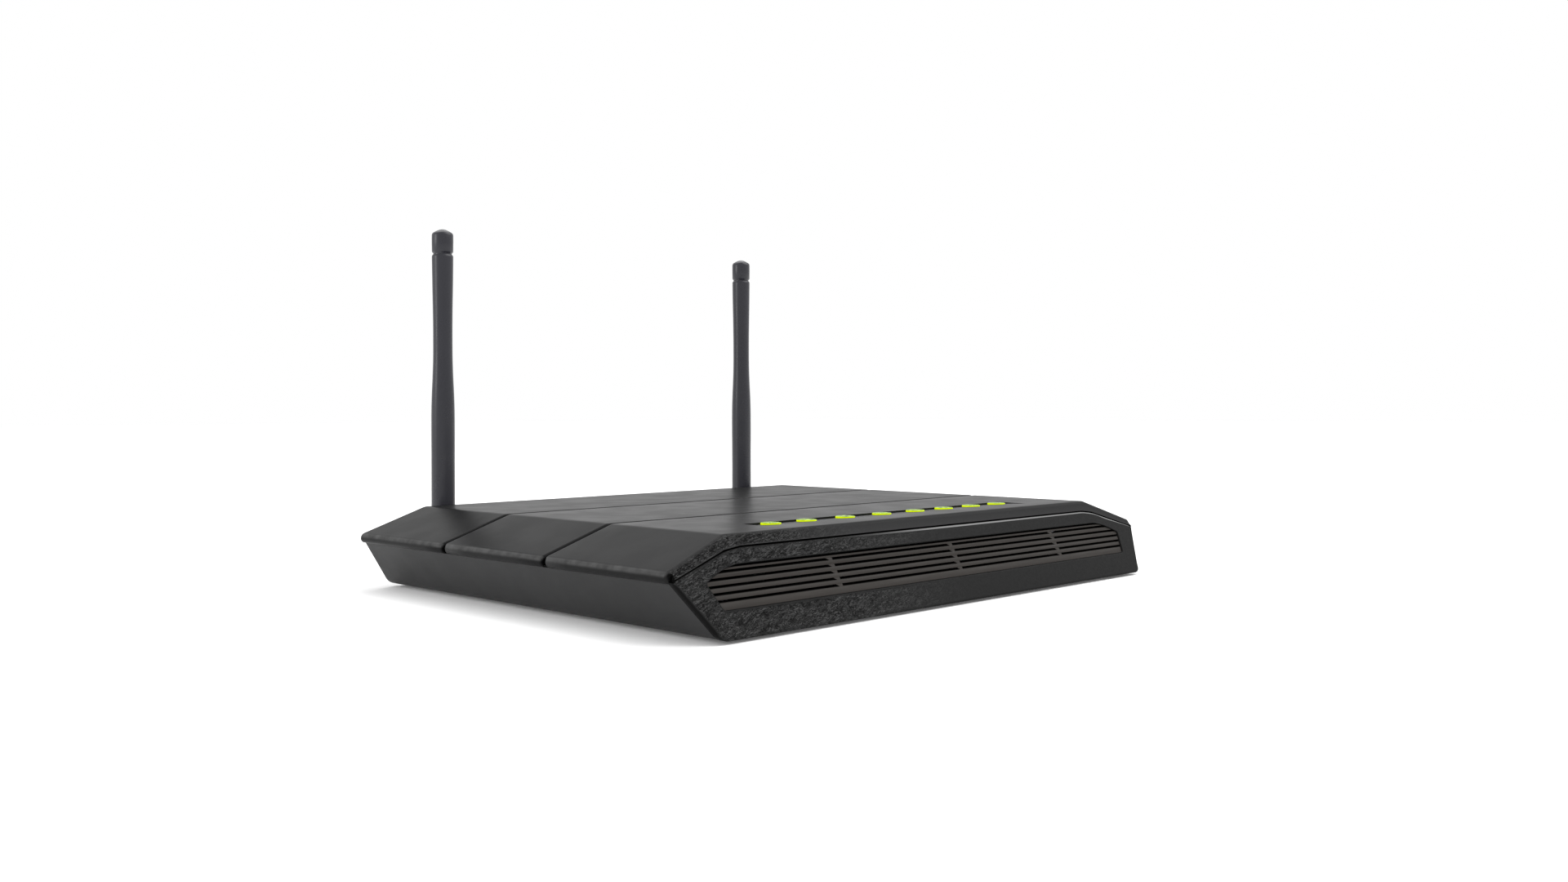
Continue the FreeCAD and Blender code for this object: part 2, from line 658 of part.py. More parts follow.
# ---- sockets --------------------------------------------------------------------------
def jack_block(middle, half, top, pitch, ports, cave_half, cave_z0, cave_z1):
    """A row of modular jacks in one moulding, each with a notch for the plug's latch."""
    depth, cave_depth, latch_half, latch_high = 16.0, 13.0, 3.0, 1.6
    block = box(middle - half, middle + half, SOCKET_FACE_Y - depth, SOCKET_FACE_Y, DECK_Z, top)
    caves = []
    for x in row_places(middle, pitch, ports):
        y0, y1 = SOCKET_FACE_Y - cave_depth, SOCKET_FACE_Y + 1
        caves.append(box(x - cave_half, x + cave_half, y0, y1, cave_z0, cave_z1))
        caves.append(box(x - latch_half, x + latch_half, y0, y1, cave_z1 - 0.1, cave_z1 + latch_high))
    return block.cut(caves)


def lan_jack_block():
    return jack_block(LAN_X, LAN_HALF, LAN_TOP_Z, LAN_PITCH, LAN_PORTS, *LAN_CAVE)


def phone_jack_block():
    return jack_block(PHONE_X, PHONE_HALF, PHONE_TOP_Z, PHONE_PITCH, PHONE_PORTS, *PHONE_CAVE)


def contact_springs(middle, pitch, ports, cave_z0, wires):
    """Bent contact wires on the floor of each jack, rising towards the back."""
    thick, width, rise = 0.3, 0.45, 1.4
    near, knee, back = SOCKET_FACE_Y - 4.0, SOCKET_FACE_Y - 6.0, SOCKET_FACE_Y - 12.9
    side = [
        Vec(0, near, cave_z0),
        Vec(0, back, cave_z0 + rise),
        Vec(0, back, cave_z0 + rise - thick),
        Vec(0, knee, cave_z0),
    ]
    wire = Part.Face(Part.makePolygon(side + side[:1])).extrude(Vec(width, 0, 0))
    springs = []
    for port_x in row_places(middle, pitch, ports):
        for x in row_places(port_x - width / 2, WIRE_PITCH, wires):
            springs.append(wire.translated(Vec(x, 0, 0)))
    return Part.makeCompound(springs)


def lan_contacts():
    return contact_springs(LAN_X, LAN_PITCH, LAN_PORTS, LAN_CAVE[1], LAN_WIRES)


def phone_contacts():
    return contact_springs(PHONE_X, PHONE_PITCH, PHONE_PORTS, PHONE_CAVE[1], PHONE_WIRES)


def usb_shell():
    y0 = SOCKET_FACE_Y - USB_DEPTH
    half = USB_HALF - SHEET
    outer = box(USB_X - USB_HALF, USB_X + USB_HALF, y0, SOCKET_FACE_Y, USB_Z0, USB_Z1)
    inner = box(USB_X - half, USB_X + half, y0 + SHEET, SOCKET_FACE_Y + 1, USB_Z0 + SHEET, USB_Z1 - SHEET)
    return outer.cut(inner)


def usb_tongue():
    """The plastic tongue with its root block against the back of the shell."""
    root_half, tongue_half, root_deep = 6.3, 5.6, 3.0
    y0 = SOCKET_FACE_Y - USB_DEPTH + SHEET
    y1 = SOCKET_FACE_Y - 1.2
    root = box(USB_X - root_half, USB_X + root_half, y0, y0 + root_deep, USB_Z0 + SHEET, USB_Z1 - SHEET)
    tongue = box(USB_X - tongue_half, USB_X + tongue_half, y0, y1, USB_Z1 - 3.0, USB_Z1 - 1.2)
    return union([root, tongue])


def dc_jack():
    depth = 14.2
    x0, x1 = DC_JACK_X - DC_HALF, DC_JACK_X + DC_HALF
    body = box(x0, x1, SOCKET_FACE_Y - depth, SOCKET_FACE_Y, DECK_Z, DC_TOP_Z)
    root = SOCKET_FACE_Y - DC_BARREL_DEPTH
    return body.cut(rod_y(DC_BARREL_RADIUS, root, SOCKET_FACE_Y + 1, DC_JACK_X, DC_BARREL_Z))


def dc_jack_pin():
    root, tip, radius = SOCKET_FACE_Y - DC_BARREL_DEPTH, SOCKET_FACE_Y - 1.0, 1.0
    pin = rod_y(radius, root, tip, DC_JACK_X, DC_BARREL_Z)
    return soften(pin, radius / 2, lambda c: c.y > tip - 0.1)


def on_fibre_axis(half_x, half_z, y0, y1):
    """A block centred on the fibre plug's axis."""
    return box(FIBRE_X - half_x, FIBRE_X + half_x, y0, y1, FIBRE_Z - half_z, FIBRE_Z + half_z)


def fibre_adapter():
    """The housing that takes the fibre plug, with an inner wall that holds the sleeve."""
    cave_depth, key_half, key_depth = 14.0, 1.1, 8.0
    y0, y1 = SOCKET_FACE_Y - FIBRE_DEPTH, SOCKET_FACE_Y
    housing = box(FIBRE_X - FIBRE_HALF, FIBRE_X + FIBRE_HALF, y0, y1, DECK_Z, FIBRE_TOP_Z)
    cave = on_fibre_axis(*FIBRE_CAVE, y1 - cave_depth, y1 + 1)
    key = box(FIBRE_X - key_half, FIBRE_X + key_half, y1 - key_depth, y1 + 1, FIBRE_Z, FIBRE_TOP_Z + 1)
    sleeve_seat = rod_y(SLEEVE_RADIUS + FIT, y0 - 1, y1, FIBRE_X, FIBRE_Z)
    return housing.cut([cave, key, sleeve_seat])


def alignment_sleeve():
    """The ceramic tube in which the plug's ferrule meets the transceiver's."""
    y0, y1 = SOCKET_FACE_Y - 18.0, SOCKET_FACE_Y - 7.0
    bore = rod_y(SLEEVE_BORE, y0 - 1, y1 + 1, FIBRE_X, FIBRE_Z)
    return rod_y(SLEEVE_RADIUS, y0, y1, FIBRE_X, FIBRE_Z).cut(bore)


def fibre_dust_cap():
    """A soft plug with a grip, hollow so that it passes over the sleeve."""
    plug_depth, bore_end, flange_thick, grip_long = 12.0, 5.5, 1.2, 6.0
    half_x, half_z = FIBRE_CAVE[0] - MOVING_GAP, FIBRE_CAVE[1] - MOVING_GAP
    y0 = SOCKET_FACE_Y - plug_depth
    flange_y = SOCKET_FACE_Y + MOVING_GAP
    grip_end = flange_y + grip_long
    plug = on_fibre_axis(half_x, half_z, y0, flange_y + flange_thick)
    flange = on_fibre_axis(5.8, 4.6, flange_y, flange_y + flange_thick)
    grip = on_fibre_axis(3.6, 2.2, flange_y, grip_end)
    grip = soften(grip, 1.0, lambda c: c.y > grip_end - 0.1)
    bore = rod_y(SLEEVE_RADIUS + 0.5, y0 - 1, SOCKET_FACE_Y - bore_end, FIBRE_X, FIBRE_Z)
    return union([plug, flange, grip]).cut(bore)


def optical_transceiver():
    """The laser and receiver in one stepped barrel, with the receiver's can on its side."""
    barrel_long, laser_long, receiver_long = 9.0, 4.0, 5.5
    y1 = SOCKET_FACE_Y - FIBRE_DEPTH
    y0 = y1 - barrel_long
    barrel = rod_y(3.0, y0, y1, FIBRE_X, FIBRE_Z)
    laser = rod_y(2.4, y0 - laser_long, y0, FIBRE_X, FIBRE_Z)
    receiver = rod_x(2.3, FIBRE_X, FIBRE_X + receiver_long, (y0 + y1) / 2, FIBRE_Z)
    return union([barrel, laser, receiver])


def transceiver_shield():
    """A sheet metal cover over the transceiver, open below and towards the adapter."""
    y0, y1 = SOCKET_FACE_Y - 35.0, SOCKET_FACE_Y - FIBRE_DEPTH - 0.2
    x0, x1 = FIBRE_X - 6.5, FIBRE_X + 7.5
    outer = box(x0, x1, y0, y1, DECK_Z, FIBRE_TOP_Z)
    return outer.cut(box(x0 + SHEET, x1 - SHEET, y0 + SHEET, y1 + 1, DECK_Z, FIBRE_TOP_Z - SHEET))


# ---- buttons --------------------------------------------------------------------------
def power_button():
    """A square cap with a flange behind the panel and a stem towards the switch."""
    half, proud, flange_out, flange_thick, stem_radius = POWER_CAP / 2, 3.2, 1.0, 1.5, 2.0
    face = PANEL_OUT_Y + proud
    flange_y1 = PANEL_IN_Y - MOVING_GAP
    flange_y0 = flange_y1 - flange_thick
    wide = half + flange_out
    x = POWER_BUTTON_X
    cap = box(x - half, x + half, flange_y0, face, BUTTON_Z - half, BUTTON_Z + half)
    cap = soften(cap, 0.8, lambda c: c.y > face - 0.1)
    flange = box(x - wide, x + wide, flange_y0, flange_y1, BUTTON_Z - wide, BUTTON_Z + wide)
    stem = rod_y(stem_radius, SWITCH_FACE_Y + POWER_TRAVEL + MOVING_GAP, flange_y1, x, BUTTON_Z)
    return union([cap, flange, stem])


def power_switch():
    """The latching switch, standing on the board behind its button."""
    half, deep = 4.3, 9.0
    x0, x1 = POWER_BUTTON_X - half, POWER_BUTTON_X + half
    return box(x0, x1, SWITCH_FACE_Y - deep, SWITCH_FACE_Y, DECK_Z, BUTTON_Z + half)


def touch_button(x):
    """A small round button with a flange behind the panel."""
    proud, flange_out, flange_thick = 1.2, 0.9, 1.2
    face = PANEL_OUT_Y + proud
    flange_y1 = PANEL_IN_Y - MOVING_GAP
    flange_y0 = flange_y1 - flange_thick
    cap = rod_y(TOUCH_RADIUS, flange_y0, face, x, BUTTON_Z)
    cap = soften(cap, 0.5, lambda c: c.y > face - 0.05)
    flange = rod_y(TOUCH_RADIUS + flange_out, flange_y0, flange_y1, x, BUTTON_Z)
    stem_y0 = SWITCH_FACE_Y + TACT_PROUD + TOUCH_TRAVEL + MOVING_GAP
    return union([cap, flange, rod_y(TOUCH_STEM, stem_y0, flange_y1, x, BUTTON_Z)])


def touch_switches():
    """Three upright push switches: two behind the round buttons, one for the reset."""
    half, deep = 3.0, 4.0
    switches = []
    for x in (RESET_X, WPS_BUTTON_X, WLAN_BUTTON_X):
        body = box(x - half, x + half, SWITCH_FACE_Y - deep, SWITCH_FACE_Y, DECK_Z, BUTTON_Z + half)
        if x == RESET_X:
            guide_y0 = SWITCH_FACE_Y - PLUNGER_GUIDE
            guide = rod_y(PLUNGER_RADIUS + MOVING_GAP, guide_y0, SWITCH_FACE_Y + 1, x, BUTTON_Z)
            switches.append(body.cut(guide))
        else:
            tact = rod_y(TOUCH_STEM, SWITCH_FACE_Y, SWITCH_FACE_Y + TACT_PROUD, x, BUTTON_Z)
            switches.append(union([body, tact]))
    return Part.makeCompound(switches)


def reset_plunger():
    """The short plunger that a straight wire pushes through the pinhole."""
    y0 = SWITCH_FACE_Y - PLUNGER_GUIDE + RESET_TRAVEL + MOVING_GAP
    y1 = SWITCH_FACE_Y + 5.0
    plunger = rod_y(PLUNGER_RADIUS, y0, y1, RESET_X, BUTTON_Z)
    return soften(plunger, 0.3, lambda c: c.y > y1 - 0.05)


# ---- antennas, drawn for the right side -------------------------------------------------
def antenna_bush():
    """The fixed bush: a thread through the panel, a round flange and a plain neck."""
    flange = rod_y(BUSH_FLANGE[0], PANEL_OUT_Y, PANEL_OUT_Y + BUSH_FLANGE[1], ANTENNA_X, HINGE_Z)
    thread = rod_y(BUSH_THREAD, THREAD_END_Y, PANEL_OUT_Y, ANTENNA_X, HINGE_Z)
    neck = rod_y(BUSH_NECK, PANEL_OUT_Y, COLLAR_Y1 - 1.8, ANTENNA_X, HINGE_Z)
    return union([flange, thread, neck])


def antenna_nuts():
    """The two hexagon nuts that hold the bushes against the inside of the panel."""
    thick, radius = 2.2, 5.0
    nuts = []
    for s in (-1, 1):
        middle = Vec(s * ANTENNA_X, PANEL_IN_Y - thick, HINGE_Z)
        corners = []
        for i in range(7):
            turn = math.radians(60 * i)
            corners.append(middle + Vec(radius * math.cos(turn), 0, radius * math.sin(turn)))
        prism = Part.Face(Part.makePolygon(corners)).extrude(Vec(0, thick, 0))
        hole = rod_y(BUSH_THREAD + FIT / 2, THREAD_END_Y, PANEL_IN_Y + 1, s * ANTENNA_X, HINGE_Z)
        nuts.append(prism.cut(hole))
    return Part.makeCompound(nuts)


def antenna_knuckle():
    """The turning collar on the bush, with the tongue that the whip hinges on."""
    collar = rod_y(COLLAR_RADIUS, COLLAR_Y0, COLLAR_Y1, ANTENNA_X, HINGE_Z)
    collar = soften(collar, 0.6, lambda c: c.y < COLLAR_Y0 + 0.05)
    x0, x1 = ANTENNA_X - TONGUE_HALF, ANTENNA_X + TONGUE_HALF
    tongue = box(x0, x1, COLLAR_Y1 - 0.5, HINGE_Y, HINGE_Z - TONGUE_RADIUS, HINGE_Z + TONGUE_RADIUS)
    end = rod_x(TONGUE_RADIUS, x0, x1, HINGE_Y, HINGE_Z)
    bore = rod_y(BUSH_NECK + PIN_PLAY, COLLAR_Y0 - 1, COLLAR_Y1 - 1.5, ANTENNA_X, HINGE_Z)
    pin_hole = rod_x(PIN_RADIUS + PIN_PLAY, x0 - 1, x1 + 1, HINGE_Y, HINGE_Z)
    return union([collar, tongue, end]).cut([bore, pin_hole])


def antenna_hinge_pin():
    return rod_x(PIN_RADIUS, ANTENNA_X - PIN_HALF, ANTENNA_X + PIN_HALF, HINGE_Y, HINGE_Z)


def turned(profile):
    """A solid of revolution about the antenna's upright axis."""
    points = [Vec(ANTENNA_X + r, HINGE_Y, z) for r, z in profile]
    face = Part.Face(Part.makePolygon(points + points[:1]))
    return face.revolve(Vec(ANTENNA_X, HINGE_Y, 0), Vec(0, 0, 1), 360)


def antenna_whip():
    """The waisted sleeve, with a fork at its foot that clasps the tongue."""
    profile = [
        (0, HINGE_Z - WHIP_RADIUS),
        (WHIP_RADIUS, HINGE_Z - WHIP_RADIUS),
        (WHIP_RADIUS, 70.0),
        (4.2, 78.0),
        (WHIP_NECK, 87.0),
        (WHIP_NECK, 104.0),
        (4.4, SHAFT_TOP_Z - 1.0),
        (4.0, SHAFT_TOP_Z),
        (0, SHAFT_TOP_Z),
    ]
    reach = WHIP_RADIUS + 1
    x0, x1 = ANTENNA_X - reach, ANTENNA_X + reach
    y0, y1 = HINGE_Y - reach, HINGE_Y + reach
    round_foot = rod_x(WHIP_RADIUS, x0, x1, HINGE_Y, HINGE_Z)
    kept = union([round_foot, box(x0, x1, y0, y1, HINGE_Z, ANTENNA_TOP_Z)])
    slot_half = TONGUE_HALF + 0.1
    slot_top = HINGE_Z + TONGUE_RADIUS + 0.6
    slot = box(ANTENNA_X - slot_half, ANTENNA_X + slot_half, y0, y1, 0, slot_top)
    bore = rod_z(WHIP_BORE, BORE_FOOT_Z, ANTENNA_TOP_Z, ANTENNA_X, HINGE_Y)
    pin_hole = rod_x(PIN_RADIUS, ANTENNA_X - PIN_HALF, ANTENNA_X + PIN_HALF, HINGE_Y, HINGE_Z)
    return turned(profile).common(kept).cut([slot, bore, pin_hole])


def antenna_cap():
    """The end cap: a ring groove, a short drum with a low dome, and a spigot in the bore."""
    plug_foot = SHAFT_TOP_Z - 6.0
    profile = [
        (0, plug_foot),
        (WHIP_BORE - FIT, plug_foot),
        (WHIP_BORE - FIT, SHAFT_TOP_Z),
        (3.65, SHAFT_TOP_Z),
        (3.65, SHAFT_TOP_Z + 1.5),
        (4.3, SHAFT_TOP_Z + 2.1),
        (4.3, ANTENNA_TOP_Z - 2.2),
        (3.5, ANTENNA_TOP_Z - 0.8),
        (1.8, ANTENNA_TOP_Z - 0.1),
        (0, ANTENNA_TOP_Z),
    ]
    return turned(profile)


def antenna_radiator():
    """The brass sleeve dipole inside the whip."""
    profile = [
        (0, BORE_FOOT_Z),
        (0.8, BORE_FOOT_Z),
        (0.8, 40.0),
        (2.0, 40.0),
        (2.0, 66.0),
        (0.6, 66.0),
        (0.6, 110.0),
        (0, 110.0),
    ]
    return turned(profile)


def coax_cable():
    """The thin cable from the bush down to the radio's shield, held inside the case."""
    can_top = DECK_Z + CAN_HIGH
    stops = [
        Vec(ANTENNA_X, THREAD_END_Y, HINGE_Z),
        Vec(ANTENNA_X, THREAD_END_Y - 12.0, HINGE_Z),
        Vec(ANTENNA_X - 3.0, THREAD_END_Y - 22.0, can_top + 0.8),
        Vec(ANTENNA_X - 9.0, THREAD_END_Y - 31.0, DECK_Z + 2.3),
        Vec(ANTENNA_X - 11.0, CAN_Y[1] + 0.4, DECK_Z + 2.3),
    ]
    edges = []
    start = stops[0]
    for before, here, after in zip(stops, stops[1:], stops[2:]):
        to_here, onward = here - before, after - here
        turn = to_here.getAngle(onward)
        tangent = 0.45 * min(to_here.Length, onward.Length)
        bend = tangent / math.tan(turn / 2)
        arc_in = here - to_here / to_here.Length * tangent
        arc_out = here + onward / onward.Length * tangent
        inward = (arc_in + arc_out) / 2 - here
        middle = here + inward / inward.Length * bend * (1 / math.cos(turn / 2) - 1)
        edges.append(Part.LineSegment(start, arc_in).toShape())
        edges.append(Part.Arc(arc_in, middle, arc_out).toShape())
        start = arc_out
        print(f"coax bend {bend:.1f} mm")
    edges.append(Part.LineSegment(start, stops[-1]).toShape())
    route = Part.Wire(edges)
    ring = Part.Wire([Part.Circle(stops[0], stops[1] - stops[0], COAX_RADIUS).toShape()])
    cable = route.makePipeShell([ring], True, False)
    ideal = math.pi * COAX_RADIUS**2 * route.Length
    print(f"coax volume {cable.Volume:.2f}, section times length {ideal:.2f}")
    return cable


# ---- all nodes --------------------------------------------------------------------------
SINGLE_PARTS = [
    top_cover,
    bottom_case,
    front_bezel,
    vent_grille,
    rear_panel,
    rating_label,
    rubber_feet,
    case_screws,
    board_screws,
    light_guide_strip,
    indicator_leds,
    main_board,
    processor_chip,
    thermal_pad,
    heat_sink,
    memory_chips,
    wifi_shield_cans,
    lan_transformers,
    capacitors,
    power_inductors,
    phone_line_chip,
    lan_jack_block,
    lan_contacts,
    phone_jack_block,
    phone_contacts,
    usb_shell,
    usb_tongue,
    dc_jack,
    dc_jack_pin,
    fibre_adapter,
    alignment_sleeve,
    fibre_dust_cap,
    optical_transceiver,
    transceiver_shield,
    power_button,
    power_switch,
    touch_switches,
    reset_plunger,
    antenna_nuts,
]
PAIRED_PARTS = [
    antenna_bush,
    antenna_knuckle,
    antenna_hinge_pin,
    antenna_whip,
    antenna_cap,
    antenna_radiator,
    coax_cable,
]

os.makedirs("parts", exist_ok=True)
for make in SINGLE_PARTS:
    save(make.__name__, make())
save("wps_button", touch_button(WPS_BUTTON_X))
save("wlan_button", touch_button(WLAN_BUTTON_X))
for make in PAIRED_PARTS:
    saved_pair(make.__name__, make())
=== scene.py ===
import json
import math

import bmesh
import bpy
from mathutils import Matrix, Vector, noise


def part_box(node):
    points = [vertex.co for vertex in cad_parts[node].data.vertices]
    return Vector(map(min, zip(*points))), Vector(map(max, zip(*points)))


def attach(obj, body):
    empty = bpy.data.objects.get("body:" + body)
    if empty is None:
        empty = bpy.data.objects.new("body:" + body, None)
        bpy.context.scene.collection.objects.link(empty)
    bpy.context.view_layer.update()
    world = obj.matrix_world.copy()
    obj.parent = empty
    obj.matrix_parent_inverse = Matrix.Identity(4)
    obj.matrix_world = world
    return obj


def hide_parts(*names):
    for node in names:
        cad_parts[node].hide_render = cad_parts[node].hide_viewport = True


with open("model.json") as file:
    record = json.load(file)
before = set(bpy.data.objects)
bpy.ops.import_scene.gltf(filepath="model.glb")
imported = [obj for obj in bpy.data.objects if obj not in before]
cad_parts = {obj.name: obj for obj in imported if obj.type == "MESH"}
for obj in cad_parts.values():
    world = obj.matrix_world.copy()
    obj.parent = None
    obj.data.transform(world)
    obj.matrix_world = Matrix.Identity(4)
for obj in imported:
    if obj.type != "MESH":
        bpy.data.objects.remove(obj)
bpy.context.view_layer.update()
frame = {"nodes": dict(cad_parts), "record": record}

MM = 0.001
COVER_SHARP = 38        # degrees above which the cover's edges are shaded sharp
ROUNDED_SHARP = 40      # the same for pieces with rounded edges

# ---- the case frame -----------------------------------------------------------------
# Shapes are drawn in millimetres in the case frame: X across from the middle, Y back from
# the waist line of the leaning front, Z up from the underside of the case.
BODY_HEIGHT = 28.7
WAIST_Z = 19.4          # the case is widest here
TOP_HALF = 98.8         # half width of the flat top
PARTING_Z = 16.4        # the cover meets the tray
COVER_REAR_Y = 177.2
WALL = 2.0
FRONT_LEAN = math.radians(29.7)
BEZEL_THICK = 1.8
VISOR_TOP_Z = 25.1      # lower edge of the cover's visor in the middle of the front
GROOVES_Y = (60.5, 119.4)  # the two seams across the cover
RECESS_FRONT_Y = 14.0
RECESS_BACK_Y = 27.0
RECESS_DEPTH = 0.6
RECESS_HALF = 70.5
LAMP_X = (-61.0, -44.0, -24.5, -5.0, 13.9, 30.9, 47.9, 64.4)
LAMP_Y = 23.4
LAMP_RADIUS = 3.5
LAMP_SIDES = 48
RIB_COUNT = 3
RIB_PITCH = 62.3
RIB_ROW_X = 5.0
SLOT_COUNT = 5
SLOT_PITCH = 1.98
LOWEST_SLOT_Z = 10.45
WHIP_RADIUS = 4.7
HINGE_Z = 14.0
ANTENNA_TOP_Z = 139.0

SHIFT_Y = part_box("top_cover")[1].y / MM - COVER_REAR_Y
SHIFT_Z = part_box("bottom_case")[0].z / MM


def place(x, y, z):
    """A point of the case frame, in millimetres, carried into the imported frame, in metres."""
    return Vector((x, y + SHIFT_Y, z + SHIFT_Z)) * MM


def front_y(z, depth=0.0):
    """Y of the leaning front plane at a height, or of the plane a depth behind it."""
    return (z - WAIST_Z) * math.tan(FRONT_LEAN) + depth / math.cos(FRONT_LEAN)


def spread(middle, pitch, count):
    """Evenly spaced places about a middle."""
    return [middle + (i - (count - 1) / 2) * pitch for i in range(count)]


def smooth_step(low, high, value):
    t = min(max((value - low) / (high - low), 0.0), 1.0)
    return t * t * (3 - 2 * t)


def between(a, b, t):
    """The point a share t of the way from a to b."""
    return tuple(p + (q - p) * t for p, q in zip(a, b))


# ---- mesh helpers -------------------------------------------------------------------
def linked(name, bm):
    """Makes a scene object of a bmesh, which is used up."""
    mesh = bpy.data.meshes.new(name)
    bm.to_mesh(mesh)
    bm.free()
    obj = bpy.data.objects.new(name, mesh)
    bpy.context.scene.collection.objects.link(obj)
    return obj


def loose(name, bm):
    """A shape that rides on nothing yet, with its faces turned outwards."""
    bmesh.ops.recalc_face_normals(bm, faces=bm.faces)
    return linked(name, bm)


def new_object(name, bm, body, material, smooth_angle=35.0):
    """A piece of the object: shaded smooth below an angle in degrees, on its body."""
    obj = loose(name, bm)
    obj.data.shade_smooth()
    obj.data.set_sharp_from_angle(angle=math.radians(smooth_angle))
    obj.data.materials.append(material)
    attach(obj, body)
    return obj


def loft(bm, rings, capped=False):
    """Joins closed rows of points with quads. capped: fills both ends."""
    rows = [[bm.verts.new(p) for p in ring] for ring in rings]
    count = len(rows[0])
    for low, high in zip(rows, rows[1:]):
        for i in range(count):
            j = (i + 1) % count
            bm.faces.new((low[i], low[j], high[j], high[i]))
    if capped:
        bm.faces.new(rows[0])
        bm.faces.new(rows[-1])
    return rows


def block(bm, low, high):
    """A box between two opposite corners in the case frame."""
    (x0, y0, z0), (x1, y1, z1) = low, high
    verts = [bm.verts.new(place(x, y, z)) for z in (z0, z1) for y in (y0, y1) for x in (x0, x1)]
    for quad in ((0, 1, 3, 2), (4, 5, 7, 6), (0, 1, 5, 4), (2, 3, 7, 6), (0, 2, 6, 4), (1, 3, 7, 5)):
        bm.faces.new([verts[i] for i in quad])


def modify(obj, kind, **settings):
    """Adds a modifier and applies it, so that the piece's own mesh is the final one."""
    modifier = obj.modifiers.new(kind.lower(), kind)
    for key, value in settings.items():
        setattr(modifier, key, value)
    depsgraph = bpy.context.evaluated_depsgraph_get()
    final = bpy.data.meshes.new_from_object(obj.evaluated_get(depsgraph))
    obj.modifiers.clear()
    old = obj.data
    obj.data = final
    bpy.data.meshes.remove(old)


def round_edges(obj, width, segments, angle):
    """Rounds the edges sharper than an angle in degrees, and evens the shading of flat faces."""
    modify(
        obj,
        "BEVEL",
        width=width * MM,
        segments=segments,
        limit_method="ANGLE",
        angle_limit=math.radians(angle),
        harden_normals=False,
        miter_outer="MITER_ARC",
    )
    obj.data.shade_smooth()
    obj.data.set_sharp_from_angle(angle=math.radians(ROUNDED_SHARP))
    modify(obj, "WEIGHTED_NORMAL", mode="FACE_AREA", weight=100, keep_sharp=True)


# ---- materials ----------------------------------------------------------------------
WAVER_SIZE = 7.0        # how far apart, in millimetres, slanted lines change course


